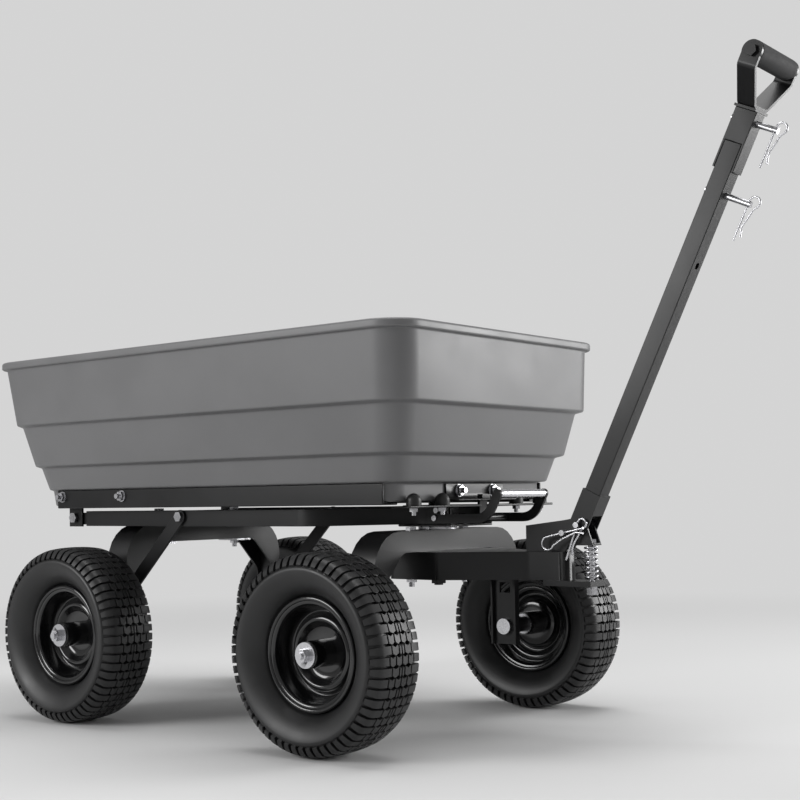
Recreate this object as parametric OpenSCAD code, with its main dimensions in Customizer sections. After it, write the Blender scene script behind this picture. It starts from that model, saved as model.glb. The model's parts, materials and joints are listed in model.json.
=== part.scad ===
// Tipping dump cart: a moulded tub on a steel chassis, with a steered front axle and a folding tongue.
// X points forward, Y to the left and Z up. Lengths are in millimetres and angles in degrees.

/* [Wheels] */
// Outer diameter of a tyre
tyre_d = 330; // [300:1:360]
// Section width of a tyre
tyre_w = 118; // [110:1:126]
// Outer diameter of the rim flange
rim_flange_d = 188; // [184:1:192]
// Width over the rim flanges
rim_w = 66; // [64:1:72]
// Thickness of the pressed rim steel
rim_t = 3; // [2:0.5:4]
// Outer diameter of the hub tube
hub_d = 45; // [44:0.5:54]
// Length of the hub tube on the outer side of the wheel's middle plane
hub_out = 40; // [36:1:48]
// Length of the hub tube on the inner side of the wheel's middle plane
hub_in = 46; // [42:1:50]

/* [Axles] */
// Diameter of a stub axle
axle_d = 19; // [16:0.5:22]
// Width of an axle arch, front to back
arch_w = 56; // [48:1:64]
// Thickness of the arch's bent steel
arch_t = 6; // [4:0.5:8]
// Depth of the flanges on the arch's front and back edges
arch_flange = 37; // [28:1:42]
// Bend radius at the arch's shoulders
arch_r = 70; // [55:1:85]
// Reach of an arch leg below the axle
leg_below = 34; // [26:1:44]
// Length of the spacer between an arch leg and a hub
spacer_l = 55.7; // [50:0.1:62]
// Reach of the tub's front rim beyond the front axle
overhang = 164; // [156:1:172]

/* [Chassis] */
// Inset of the chassis rails and the axle arches from the tub's foot
rail_in = 19; // [16:1:24]
// Height of a chassis rail
rail_h = 30; // [26:1:36]
// Width of a rail's flanges
rail_flange = 25; // [20:1:30]
// Thickness of the rail steel
rail_t = 3; // [2:0.5:4]
// Height of the rails' undersides above the ground
rail_z = 367; // [360:1:380]
// Distance from the tipping hinge to the rails' rear ends
rail_start = 35; // [32:1:38]
// Where the rails start to bend inward, behind the front axle
rail_bend = 111; // [100:1:130]
// Front end of the rails, from the front axle
neck_front = 75; // [70:1:80]
// Half width of the neck over the rails' front ends
neck_half = 64; // [58:1:70]
// Thickness of the chassis plates
plate_t = 4; // [3:0.5:5]
// Width of the rear cross member, front to back
cross_w = 50; // [40:1:60]
// Diameter of the king pin
king_d = 16; // [12:1:20]
// Outer diameter of the thrust washer
thrust_d = 70; // [50:1:90]
// Diameter of a rubber bump stop
bump_d = 26; // [20:1:28]
// Height of a rubber bump stop
bump_h = 21; // [18:1:26]

/* [Tub] */
// Length of the tub over its rim
tub_l = 1065; // [1050:1:1080]
// Width of the tub over its rim
tub_w = 634; // [620:1:650]
// Height of the tub
tub_h = 294; // [285:1:310]
// Distance from the rim's rear edge to the tipping hinge
hinge_in = 148; // [140:1:156]
// Corner radius of the rim
tub_corner = 60; // [50:1:80]
// Thickness of the tub wall
tub_wall = 5; // [4:0.5:6]
// Thickness of the tub floor
tub_floor = 6; // [5:0.5:8]
// Height of the rolled rim
rim_h = 15; // [12:1:18]
// How far the rim stands out from the wall
rim_out = 8; // [7:0.5:10]
// Depth of the ledges between the tub's tiers
ledge = 13; // [9:0.5:14]
// Height of the upper ledge above the tub's foot
ledge_1 = 162; // [155:1:170]
// Height of the middle ledge above the tub's foot
ledge_2 = 79; // [70:1:88]
// Height of the foot
foot_h = 33; // [28:1:40]
// Inset of the foot's sides from the rim
foot_in_y = 79; // [77:1:81]
// Inset of the foot's front from the rim
foot_in_x = 84; // [82:1:88]

/* [Bed frame] */
// Height of a bed rail
bed_rail_h = 36; // [32:1:36]
// Thickness of the bed rail steel
bed_rail_t = 5; // [4:0.5:6]
// Width of a bed rail's lower leg
bed_rail_leg = 40; // [34:1:50]
// Reach of the bed rails behind the hinge
bed_rail_tail = 25; // [22:1:30]
// Distance from the bed rails' front ends to the foot's front
bed_rail_in = 13; // [9:1:40]
// Place of the tipping hinge, from the rear axle
hinge_x = -130; // [-132:1:-128]
// Diameter of a hinge bolt
hinge_d = 12; // [10:1:14]

/* [Latch] */
// Height of the latch arms' strip
latch_arm_h = 16; // [14:1:17]
// Thickness of the latch arms
latch_arm_t = 5; // [4:0.5:6]
// Diameter of the latch pivot
latch_pivot_d = 8; // [7:1:9]
// Place of the latch pivot, from the front axle
latch_x = 49; // [48:1:50]
// Reach of the latch bar from its pivot
latch_reach = 131; // [124:1:138]
// Rise of the latch bar over its pivot
latch_rise = 41; // [38:1:50]
// Diameter of the latch bar
latch_bar_d = 14; // [10:1:16]

/* [Steering] */
// Half width of the steering yoke at the axle
yoke_half = 100; // [94:1:110]
// Half width of the yoke's nose
nose_half = 20; // [18:1:26]
// Height of the yoke
yoke_h = 48; // [42:1:54]
// Thickness of the yoke steel
yoke_t = 4; // [3:0.5:5]
// Reach of the tongue pivot from the king pin
pivot_x = 302; // [300:1:304]
// Height of the tongue pivot above the ground
pivot_z = 365; // [363:1:367]
// Diameter of the tongue pins
pin_d = 10; // [8:0.5:11]
// Number of curls in the cushion spring
spring_turns = 7; // [5:1:8]
// Wire diameter of the cushion spring
spring_wire = 3.6; // [3:0.1:4.2]
// Outer diameter of the cushion spring
spring_d = 24; // [22:0.5:26]

/* [Tongue] */
// Width of the square tongue tube
tube_w = 30; // [28:1:32]
// Wall of the tongue tube
tube_wall = 2.5; // [2:0.5:4]
// Wall of the foot sleeve round the tube
sleeve_wall = 2.5; // [2:0.5:3]
// Distance from the pivot to the upper end of the foot sleeve
sleeve_l = 60; // [50:1:80]
// Distance from the pivot to the upper end of the tube
tube_top = 658; // [630:1:690]
// Lean of the tongue from upright at rest
lean = 26; // [20:0.5:30]
// Length of the hitch plates
hitch_l = 96; // [88:1:104]
// Thickness of the hitch plates
hitch_t = 4; // [3:0.5:6]
// Spacing of the tongue's pin holes
hole_pitch = 116; // [110:1:122]
// Wire diameter of the pin clips
clip_wire = 3.5; // [3:0.25:4]

/* [Grip] */
// Width over the grip's arms
grip_w = 138; // [124:1:150]
// Distance from the tube's end to the grip's middle
grip_up = 131; // [124:1:140]
// Diameter of the foam grip
foam_d = 34; // [30:1:40]
// Width of the grip's strap
strap_w = 31; // [28:1:34]
// Thickness of the grip's strap
strap_t = 5; // [4:0.5:6]

/* [Hidden] */
$fn = 48;
fit = 0.05;       // radial play of a bolt that is clamped in its hole
run = 0.06;       // radial play of a running fit
gap = 0.3;        // space between faces that move past each other
bolt_d = 10;      // frame bolts
head_af = 17;     // across the flats of their heads and nuts
head_h = 6;
washer_d = 22;
washer_t = 2;
bolt_tail = 2;     // length of a bolt beyond its nut
long_tail = 8;     // the same on the longer bolts

tub_back = hinge_x - hinge_in;
tub_front = tub_back + tub_l;
foot_half = tub_w / 2 - foot_in_y;
foot_front = tub_front - foot_in_x;
frame_half = foot_half - rail_in;      // half width over the rails and over the axle arches
rail_back = hinge_x + rail_start;

axle_z = tyre_d / 2;
front_x = tub_front - overhang;
wheel_y = frame_half + spacer_l + gap + hub_in;
rail_top = rail_z + rail_h;
plate_top = rail_top + plate_t;
thrust_t = 6;
front_arch_top = rail_z - plate_t - thrust_t;
rear_arch_top = rail_z + rail_t;
yoke_top = front_arch_top - arch_flange;
yoke_bottom = yoke_top - yoke_h;

bed_z = plate_top + 7;                 // underside of the tub's foot
bed_rail_z = bed_z - bed_rail_t;
hinge_z = bed_rail_z - 19;
bump_x = foot_front + bump_d / 2 + 1.5;
bump_y = [frame_half - 105, frame_half - 25];
plate_front = bump_x + bump_d / 2;
neck_end = front_x + neck_front;
latch_px = front_x + latch_x;
latch_pz = rail_z + 11;
bracket_t = 5;
arm_y = neck_half + bracket_t + 1;     // inner face of a latch arm
striker_t = 4;
striker_half = bump_y[0] - bump_d / 2 - 13;
ledge_x = foot_front + striker_t;      // back of the striker's ledge
ledge_l = 28;
ledge_t = 3;
slot_x = [2, 18];                      // slot in the ledge, from its back
slot_half = 14;
hook_x = ledge_x + 12;
hook_half = 12;

pivot = [front_x + pivot_x, pivot_z];
nose_x = pivot[0] - 24;                // front of the steering yoke
sleeve_w = tube_w + 2 * sleeve_wall + 2 * fit;
cheek = tube_w / 2 + fit - 0.5;        // outer face of the tongue bracket, inside the foot
bracket_plate = 4;
seat_z = pivot_z - 34;                 // underside of the spring seat
spring_x = pivot[0] + 13;
tab_t = 9;
stop_pin = [pivot[0] - 24, pivot_z - 13];

grip_s = tube_top + grip_up;
pin_a = tube_top + 35.5;
pin_out = [hitch_t + 37, 46];          // how far the upper and lower hitch pins stand out of the tube
clip_r = 9;                            // middle radius of a hitch clip's loop
clip_up = pin_d / 2;                   // start of a hitch clip's loop above its pin's middle
pin_tip = 5;                           // from a pin's clip hole to its end

// The object's box is centred on X = 0: the tub's rim behind and the upper clip's loop or the grip in front
clip_p = tube_w / 2 + pin_out[0] - pin_tip;
clip_front = pivot[0] + (pin_a + clip_up) * sin(lean) + (clip_p + clip_r) * cos(lean)
    + clip_r + clip_wire / 2;
grip_front = pivot[0] + grip_s * sin(lean) + foam_d / 2;
front_most = max(clip_front, grip_front);
shift = -(tub_back + front_most) / 2;

// Plane geometry
function unit(v) = v / norm(v);
function left_of(v) = [-v[1], v[0]];
function heading(p, i) = unit(p[i + 1] - p[i]);
function miter(p, i) =
    let (
        a = left_of(heading(p, max(i - 1, 0))),
        b = left_of(heading(p, min(i, len(p) - 2))),
        m = unit(a + b)
    ) m / (m * a);
function beside(p, d) = [for (i = [0 : len(p) - 1]) p[i] + d * miter(p, i)];
function backwards(p) = [for (i = [len(p) - 1 : -1 : 0]) p[i]];
function flip_y(p) = [for (q = p) [q[0], -q[1]]];
function flip_x(p) = [for (q = p) [-q[0], q[1]]];
function strip(p, d0, d1) = concat(beside(p, d0), backwards(beside(p, d1)));
function turn(a) = a > 180 ? a - 360 : a < -180 ? a + 360 : a;
function corner(a, b, c, r, n) =
    let (
        u = unit(a - b),
        v = unit(c - b),
        half = acos(u * v) / 2,
        mid = b + unit(u + v) * r / sin(half),
        p0 = b + u * r / tan(half) - mid,
        p1 = b + v * r / tan(half) - mid,
        a0 = atan2(p0[1], p0[0]),
        sweep = turn(atan2(p1[1], p1[0]) - a0)
    ) [for (i = [0 : n]) mid + r * [cos(a0 + sweep * i / n), sin(a0 + sweep * i / n)]];
function rounded(p, r, n = 6) = concat(
    [p[0]],
    [for (i = [1 : len(p) - 2]) each corner(p[i - 1], p[i], p[i + 1], r, n)],
    [p[len(p) - 1]]);

// A tube of flat-sided rings along points; side gives the direction of each ring's first corner
function tangent(p, i) = unit(p[min(i + 1, len(p) - 1)] - p[max(i - 1, 0)]);
module tube(p, side, d, n) {
    last = len(p) - 1;
    points = [for (i = [0 : last])
        let (t = tangent(p, i), u = unit(side[i] - t * (side[i] * t)), v = cross(t, u))
        for (k = [0 : n - 1]) p[i] + d / 2 * (cos(360 * k / n) * u + sin(360 * k / n) * v)];
    walls = [for (i = [0 : last - 1]) for (k = [0 : n - 1])
        let (a = i * n + k, b = i * n + (k + 1) % n)
        each [[a, a + n, b + n], [a, b + n, b]]];
    ends = [for (k = [1 : n - 2]) each [[0, k, k + 1], [last * n, last * n + k + 1, last * n + k]]];
    polyhedron(points, concat(walls, ends));
}

// Placing
module on_cart() { translate([shift, 0, 0]) children(); }
module both_sides() {
    children();
    mirror([0, 1, 0]) children();
}
module along_y(x, y, z) { translate([x, y, z]) rotate([-90, 0, 0]) children(); }
module side_plate(y, t) { translate([0, y + t, 0]) rotate([90, 0, 0]) linear_extrude(t) children(); }
module on_tongue() { translate([pivot[0], 0, pivot[1]]) rotate([0, lean, 0]) children(); }

// Fasteners, standing on Z = 0 with the shank going up
module hex(af, h) { cylinder(d = af / cos(30), h = h, $fn = 6); }
module bolt(d, af, h, l) {
    translate([0, 0, -h]) hex(af, h);
    cylinder(d = d, h = l);
}
module ring(d0, d1, h) {
    difference() {
        cylinder(d = d1, h = h);
        translate([0, 0, -1]) cylinder(d = d0, h = h + 2);
    }
}
module nut(d, af, h) {
    difference() {
        hex(af, h);
        translate([0, 0, -1]) cylinder(d = d + 2 * fit, h = h + 2);
    }
}
// A frame bolt with a washer and a nut at the end of its grip
module bolt_set(grip) {
    bolt(bolt_d, head_af, head_h, grip + head_h + long_tail);
    translate([0, 0, grip - washer_t]) ring(bolt_d + 2 * fit, washer_d, washer_t);
    translate([0, 0, grip]) nut(bolt_d, head_af, head_h);
}

// Tub: one wall lofted through rounded rectangles, from the foot up over the rim and down inside
draft = [4, 17, 13];                   // how far each tier draws in, from the top
back_slope = 0.24;                     // slope of the rear wall
back_ledge = 5;
ledge_drop = 2;
corner_steps = 6;
tub_rise = [0, foot_h, ledge_2, ledge_1, tub_h - rim_h];
side_in = [
    rim_out,
    rim_out + draft[0],
    rim_out + draft[0] + ledge,
    rim_out + draft[0] + ledge + draft[1],
    rim_out + draft[0] + 2 * ledge + draft[1],
    rim_out + draft[0] + 2 * ledge + draft[1] + draft[2]];
function back_in(z, ledges) = rim_out + (tub_rise[4] - z) * back_slope + ledges * back_ledge;
function tub_ring(z, side, front, back, r) =
    let (xb = tub_back + back, xf = tub_front - front, hw = tub_w / 2 - side)
    [for (k = [0 : 3]) for (i = [0 : corner_steps])
        let (
            a = 90 * k + 90 * i / corner_steps,
            cx = k == 0 || k == 3 ? xf - r : xb + r,
            cy = k < 2 ? hw - r : r - hw
        ) [cx + r * cos(a), cy + r * sin(a), bed_z + z]];
function wall_ring(z, side, front, back, w, sharper) =
    tub_ring(z, side + w, front + w, back + w, tub_corner - w - sharper);
// The wall's face that lies w inside its outer face, from the foot up
function skin(w) =
    let (lift = w > 0 ? tub_wall * 0.8 : 0, z = tub_rise, s = side_in)
    [
        wall_ring(w > 0 ? tub_floor : 0, foot_in_y, foot_in_x, back_in(0, 2), w, 18),
        wall_ring(z[1] - ledge_drop + lift, foot_in_y, foot_in_x, back_in(z[1], 2), w, 18),
        wall_ring(z[1] + lift, s[5], s[5], back_in(z[1], 2) - 1, w, 14),
        wall_ring(z[2] - ledge_drop + lift, s[4], s[4], back_in(z[2], 2), w, 12),
        wall_ring(z[2] + ledge_drop + lift, s[3], s[3], back_in(z[2], 1), w, 10),
        wall_ring(z[3] - ledge_drop + lift, s[2], s[2], back_in(z[3], 1), w, 8),
        wall_ring(z[3] + ledge_drop + lift, s[1], s[1], back_in(z[3], 0), w, 4),
        wall_ring(z[4], s[0], s[0], rim_out, w, 2)];
rim_edge = 4;                          // rounding of the rim's upper edges
rim_in = rim_out + tub_wall;
function rim_ring(in, z, sharper = 0) = tub_ring(z, in, in, in, tub_corner - sharper);
tub_rings = concat(
    skin(0),
    [
        rim_ring(2, tub_rise[4]),
        rim_ring(0, tub_rise[4] + 2),
        rim_ring(0, tub_h - rim_edge),
        rim_ring(0.3 * rim_edge, tub_h - 0.3 * rim_edge),
        rim_ring(rim_edge, tub_h),
        rim_ring(rim_in - 3, tub_h, tub_wall),
        rim_ring(rim_in, tub_h - rim_edge, tub_wall + 2)],
    backwards(skin(tub_wall)));
module tub() {
    n = 4 * (corner_steps + 1);
    last = len(tub_rings) - 1;
    color("slategray") on_cart() difference() {
        polyhedron(
            [for (r = tub_rings) each r],
            concat(
                [for (i = [0 : last - 1]) for (j = [0 : n - 1])
                    let (a = i * n + j, b = i * n + (j + 1) % n)
                    each [[a, a + n, b + n], [a, b + n, b]]],
                [[for (j = [0 : n - 1]) j]],
                [[for (j = [n - 1 : -1 : 0]) last * n + j]]));
        both_sides() for (x = bed_bolt_x)
            along_y(x, -foot_half - 1, bed_bolt_z) cylinder(d = bolt_d + 2 * fit, h = tub_wall + 2);
        both_sides()
            translate([foot_front - tub_wall - 1, -striker_bolt_y, bed_bolt_z]) rotate([0, 90, 0])
                cylinder(d = bolt_d + 2 * fit, h = tub_wall + 2);
    }
}

// Bed frame
bed_bolt_x = [hinge_x - 8, 43];
bed_bolt_z = bed_z + 18;
striker_bolt_y = (slot_half + striker_half) / 2;
module bed_rail() {
    y = -foot_half - bed_rail_t;
    back = hinge_x - bed_rail_tail;
    l = foot_front - bed_rail_in - back;
    difference() {
        translate([back, y, bed_rail_z]) {
            cube([l, bed_rail_t, bed_rail_h]);
            cube([l, bed_rail_leg, bed_rail_t]);
        }
        for (x = bed_bolt_x)
            along_y(x, y - 1, bed_bolt_z) cylinder(d = bolt_d + 2 * fit, h = bed_rail_t + 2);
    }
}
module bed_rail_right() { color("dimgray") on_cart() bed_rail(); }
module bed_rail_left() { color("dimgray") on_cart() mirror([0, 1, 0]) bed_rail(); }
hinge_plate = [40, 18];                // length, and reach behind and below the hinge
hinge_plate_t = 5;
module hinge_brackets() {
    color("dimgray") on_cart() both_sides() difference() {
        translate([hinge_x - hinge_plate[1], -frame_half, hinge_z - hinge_plate[1]])
            cube([hinge_plate[0], hinge_plate_t, bed_rail_z - hinge_z + hinge_plate[1]]);
        along_y(hinge_x, -frame_half - 1, hinge_z) cylinder(d = hinge_d + 2 * run, h = hinge_plate_t + 2);
    }
}
module bed_bolts() {
    color("silver") on_cart() both_sides() {
        for (x = bed_bolt_x)
            translate([x, tub_wall - foot_half, bed_bolt_z]) rotate([90, 0, 0])
                bolt_set(tub_wall + bed_rail_t + washer_t);
        translate([foot_front - tub_wall, -striker_bolt_y, bed_bolt_z]) rotate([0, 90, 0])
            bolt_set(tub_wall + striker_t + washer_t);
    }
}
module striker_plate() {
    color("dimgray") on_cart() difference() {
        union() {
            translate([foot_front, -striker_half, bed_z]) {
                cube([striker_t, 2 * striker_half, foot_h - ledge_t]);
                cube([striker_t + ledge_l, 2 * striker_half, ledge_t]);
            }
        }
        translate([ledge_x + slot_x[0], -slot_half, bed_z - 1])
            cube([slot_x[1] - slot_x[0], 2 * slot_half, ledge_t + 2]);
        both_sides() translate([foot_front - 1, -striker_bolt_y, bed_bolt_z]) rotate([0, 90, 0])
            cylinder(d = bolt_d + 2 * fit, h = striker_t + 2);
    }
}

// Chassis
neck_start = front_x - 15;             // where the rails meet the neck
rail_r = 60;
rail_line = rounded(
    [
        [rail_back, -frame_half], [front_x - rail_bend, -frame_half], [neck_start, -neck_half],
        [neck_end, -neck_half]],
    rail_r);
module chassis_rail() {
    difference() {
        union() {
            translate([0, 0, rail_z]) linear_extrude(rail_h) polygon(strip(rail_line, 0, rail_t));
            for (z = [rail_z, rail_top - rail_t])
                translate([0, 0, z]) linear_extrude(rail_t) polygon(strip(rail_line, 0, rail_flange));
        }
        along_y(latch_px, -neck_half - 1, latch_pz) cylinder(d = latch_pivot_d + 2 * fit, h = rail_t + 2);
        along_y(latch_px, -neck_half - 1, rivet_z) cylinder(d = rivet_d + 2 * fit, h = rail_t + 1);
        along_y(brace_top[0], -frame_half - 1, brace_top[1]) cylinder(d = bolt_d + 2 * fit, h = rail_t + 2);
    }
}
module chassis_rail_right() { color("dimgray") on_cart() chassis_rail(); }
module chassis_rail_left() { color("dimgray") on_cart() mirror([0, 1, 0]) chassis_rail(); }
stud_d = 8;
shelf_back = foot_front - 14;          // rear edge of the shelf that carries the bump stops
front_plate_back = front_x - 30;
neck_plate_back = front_x - 40;
module front_plate() {
    half = [
        [front_plate_back, -neck_half], [shelf_back, -neck_half], [shelf_back, -frame_half],
        [plate_front, -frame_half], [plate_front, -slot_half - 2], [ledge_x, -slot_half - 2]];
    color("dimgray") on_cart() difference() {
        translate([0, 0, rail_top]) linear_extrude(plate_t) polygon(concat(half, backwards(flip_y(half))));
        translate([front_x, 0, rail_top - 1]) cylinder(d = king_d + 2 * fit, h = plate_t + 2);
        both_sides() for (y = bump_y)
            translate([bump_x, -y, rail_top - 1]) cylinder(d = stud_d + 2 * fit, h = plate_t + 2);
    }
}
module neck_plate() {
    color("dimgray") on_cart() difference() {
        translate([neck_plate_back, -neck_half, rail_z - plate_t])
            cube([neck_end - neck_plate_back, 2 * neck_half, plate_t]);
        translate([front_x, 0, rail_z - plate_t - 1]) cylinder(d = king_d + 2 * fit, h = plate_t + 2);
    }
}
module box_tube(x, w, wall) {
    half = frame_half - rail_t;
    h = rail_h - 2 * rail_t;
    translate([x, -half, rail_z + rail_t]) difference() {
        cube([w, 2 * half, h]);
        translate([wall, -1, wall]) cube([w - 2 * wall, 2 * half + 2, h - 2 * wall]);
    }
}
arch_bolt_y = frame_half - 111;
module rear_cross_member() {
    color("dimgray") on_cart() difference() {
        box_tube(-cross_w / 2, cross_w, rail_t);
        both_sides() translate([0, -arch_bolt_y, rail_z]) cylinder(d = bolt_d + 2 * fit, h = rail_h);
    }
}
ear_y = frame_half - hinge_plate_t - gap;
ear_t = 6;
tail_in = 8;                           // from the rails' ends to the tail cross member
tail_w = 34;
module tail_cross_member() {
    h = rail_h - 2 * rail_t;
    color("dimgray") on_cart() {
        difference() {
            union() {
                box_tube(rail_back + tail_in, tail_w, rail_t);
                both_sides() {
                    translate([hinge_x, -ear_y, rail_z + rail_t])
                        cube([rail_back + tail_in + rail_t - hinge_x, ear_t, h]);
                    along_y(hinge_x, -ear_y, hinge_z) cylinder(d = h, h = ear_t);
                }
            }
            both_sides() along_y(hinge_x, -ear_y - 1, hinge_z) cylinder(d = hinge_d + 2 * fit, h = ear_t + 2);
        }
    }
}
hinge_af = 19;
hinge_head = 7;
module hinge_bolts() {
    l = hinge_plate_t + 2 * gap + ear_t + hinge_head + bolt_tail;
    color("silver") on_cart() both_sides() {
        along_y(hinge_x, -frame_half - gap, hinge_z) bolt(hinge_d, hinge_af, hinge_head, l);
        along_y(hinge_x, -ear_y + ear_t, hinge_z) nut(hinge_d, hinge_af, hinge_head);
    }
}

// Axle arches: a band bent over three sides, with a flange along its front and back edges
leg_flange = 14;
flange_t = 4;
flange_r = 30;
flange_in = 10;                        // how much flatter the flange's inner corner is than the shoulder
module arch_section(x, top) {
    foot = axle_z - leg_below;
    line = rounded([[-frame_half, foot], [-frame_half, top], [frame_half, top], [frame_half, foot]], arch_r);
    inner_half = [
        [leg_flange - frame_half, foot], [leg_flange - frame_half, top - arch_r - arch_flange],
        [arch_r + flange_in - frame_half, top - arch_flange]];
    inner = rounded(concat(inner_half, backwards(flip_x(inner_half))), flange_r);
    translate([x, 0, 0]) rotate([90, 0, 90]) {
        translate([0, 0, -arch_w / 2]) linear_extrude(arch_w) polygon(strip(line, 0, -arch_t));
        for (z = [-arch_w / 2, arch_w / 2 - flange_t])
            translate([0, 0, z]) linear_extrude(flange_t) polygon(concat(line, backwards(inner)));
    }
}
window = [24, 20];
window_z = axle_z + 64;
module axle_arch(x, top, bolt_y) {
    difference() {
        arch_section(x, top);
        both_sides() {
            along_y(x, -frame_half - 1, axle_z) cylinder(d = axle_d + 2 * fit, h = arch_t + 2);
            translate([x, -bolt_y, top - arch_t - 1]) cylinder(d = bolt_d + 2 * fit, h = arch_t + 2);
        }
    }
}
module rear_axle_arch() {
    color("dimgray") on_cart() difference() {
        axle_arch(0, rear_arch_top, arch_bolt_y);
        both_sides() along_y(brace_low[0], -frame_half - 1, brace_low[1])
            cylinder(d = bolt_d + 2 * fit, h = arch_t + 2);
    }
}
module front_axle_arch() {
    color("dimgray") on_cart() difference() {
        axle_arch(front_x, front_arch_top, yoke_bolt_y);
        both_sides() translate([front_x - window[0] / 2, -frame_half - 1, window_z])
            cube([window[0], arch_t + 2, window[1]]);
        translate([front_x, 0, front_arch_top - arch_t - 1]) cylinder(d = king_d + 2 * run, h = arch_t + 2);
    }
}
saddle = [arch_w, 40, 4];
module rear_arch_bolts() {
    top = rail_top - rail_t;
    low = rear_arch_top - arch_flange - fit;
    color("silver") on_cart() both_sides() {
        translate([0, -arch_bolt_y, top]) rotate([180, 0, 0])
            bolt(bolt_d, head_af, head_h, top - low + saddle[2] + head_h + long_tail);
        difference() {
            translate([-saddle[0] / 2, -arch_bolt_y - saddle[1] / 2, low - saddle[2]]) cube(saddle);
            translate([0, -arch_bolt_y, low - saddle[2] - 1])
                cylinder(d = bolt_d + 2 * fit, h = saddle[2] + 2);
        }
        translate([0, -arch_bolt_y, low - saddle[2] - head_h]) nut(bolt_d, head_af, head_h);
    }
}
brace_top = [184, rail_z + rail_h / 2 + 3];
brace_low = [12, 216];
brace_w = 26;
brace_t = 5;
function half_round(p, r, a) = [for (i = [0 : 12]) p + r * [cos(a + 15 * i), sin(a + 15 * i)]];
module axle_braces() {
    d = brace_low - brace_top;
    a = atan2(d[1], d[0]);
    outline = concat(half_round(brace_top, brace_w / 2, a + 90), half_round(brace_low, brace_w / 2, a - 90));
    color("dimgray") on_cart() both_sides() difference() {
        side_plate(-frame_half - brace_t, brace_t) polygon(outline);
        for (p = [brace_top, brace_low])
            along_y(p[0], -frame_half - brace_t - 1, p[1]) cylinder(d = bolt_d + 2 * fit, h = brace_t + 2);
    }
}
module brace_bolts() {
    color("silver") on_cart() both_sides() for (p = [[brace_top, rail_t], [brace_low, arch_t]]) {
        along_y(p[0][0], -frame_half - brace_t, p[0][1])
            bolt(bolt_d, head_af, head_h, brace_t + p[1] + head_h + bolt_tail);
        along_y(p[0][0], -frame_half + p[1], p[0][1]) nut(bolt_d, head_af, head_h);
    }
}
hub_out_y = wheel_y + hub_out;
axle_tail = 4;                         // length of a stub axle beyond its nut
axle_head = [30, 8];
axle_washer = [42, 3];
axle_nut = [20, 11];
axle_end_d = 12;                       // threaded end of a stub axle
washer_y = hub_out_y + gap + axle_washer[1];
axle_nut_y = washer_y + axle_nut[1];
module stub_axles(x) {
    inner = frame_half - arch_t;
    shoulder = hub_out_y + gap;
    end = axle_nut_y + axle_tail;
    both_sides() {
        along_y(x, -inner, axle_z) cylinder(d = axle_head[0], h = axle_head[1]);
        along_y(x, -shoulder, axle_z) cylinder(d = axle_d, h = shoulder - inner + 1);
        along_y(x, -end, axle_z) cylinder(d = axle_end_d, h = end - shoulder + 1);
    }
}
module axle_nuts(x) {
    both_sides() {
        along_y(x, -washer_y, axle_z) ring(axle_end_d + 2 * fit, axle_washer[0], axle_washer[1]);
        along_y(x, -axle_nut_y, axle_z) nut(axle_end_d, axle_nut[0], axle_nut[1]);
    }
}
module spacers(x) {
    both_sides() along_y(x, -frame_half - spacer_l, axle_z)
        ring(axle_d + 2 * fit, axle_head[0], spacer_l);
}
module rear_stub_axles() { color("silver") on_cart() stub_axles(0); }
module front_stub_axles() { color("silver") on_cart() stub_axles(front_x); }
module rear_axle_nuts() { color("silver") on_cart() axle_nuts(0); }
module front_axle_nuts() { color("silver") on_cart() axle_nuts(front_x); }
module rear_spacers() { color("black") on_cart() spacers(0); }
module front_spacers() { color("black") on_cart() spacers(front_x); }

// Rubber stops under the tub's front
stud_nut = [13, 6];
stud_below = 7;                        // from a stud's end to the top of its stop
stud_low = 12;                         // reach of a stud below its plate
module bump_stops() {
    r = bump_d / 2;
    bore = stud_d / 2 + fit;
    top = bump_h - stud_below + fit;
    color("black") on_cart() both_sides() for (y = bump_y)
        translate([bump_x, -y, plate_top]) rotate_extrude() polygon(concat(
            [[bore, 0], [r, 0]],
            [for (a = [0 : 15 : 75]) [r * cos(a), bump_h - r + r * sin(a)]],
            [[0, bump_h], [0, top], [bore, top]]));
}
module bump_stop_studs() {
    color("silver") on_cart() both_sides() for (y = bump_y) {
        translate([bump_x, -y, rail_top - stud_low])
            cylinder(d = stud_d, h = stud_low + plate_t + bump_h - stud_below);
        translate([bump_x, -y, rail_top - stud_nut[1]]) nut(stud_d, stud_nut[0], stud_nut[1]);
    }
}

// King pin: a low head on the chassis, a nut under the yoke
king_head = 5;
king_af = 24;
king_nut = 12;
module king_pin() {
    low = yoke_bottom - gap;
    color("silver") on_cart() translate([front_x, 0, 0]) {
        translate([0, 0, plate_top]) cylinder(d = king_d * 2, h = king_head);
        translate([0, 0, low - king_nut - 3]) cylinder(d = king_d, h = plate_top - low + king_nut + 4);
        translate([0, 0, low - king_nut]) nut(king_d, king_af, king_nut);
    }
}
module thrust_washer() {
    color("silver") on_cart() translate([front_x, 0, front_arch_top + gap])
        ring(king_d + 2 * fit, thrust_d, thrust_t - gap);
}

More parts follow.
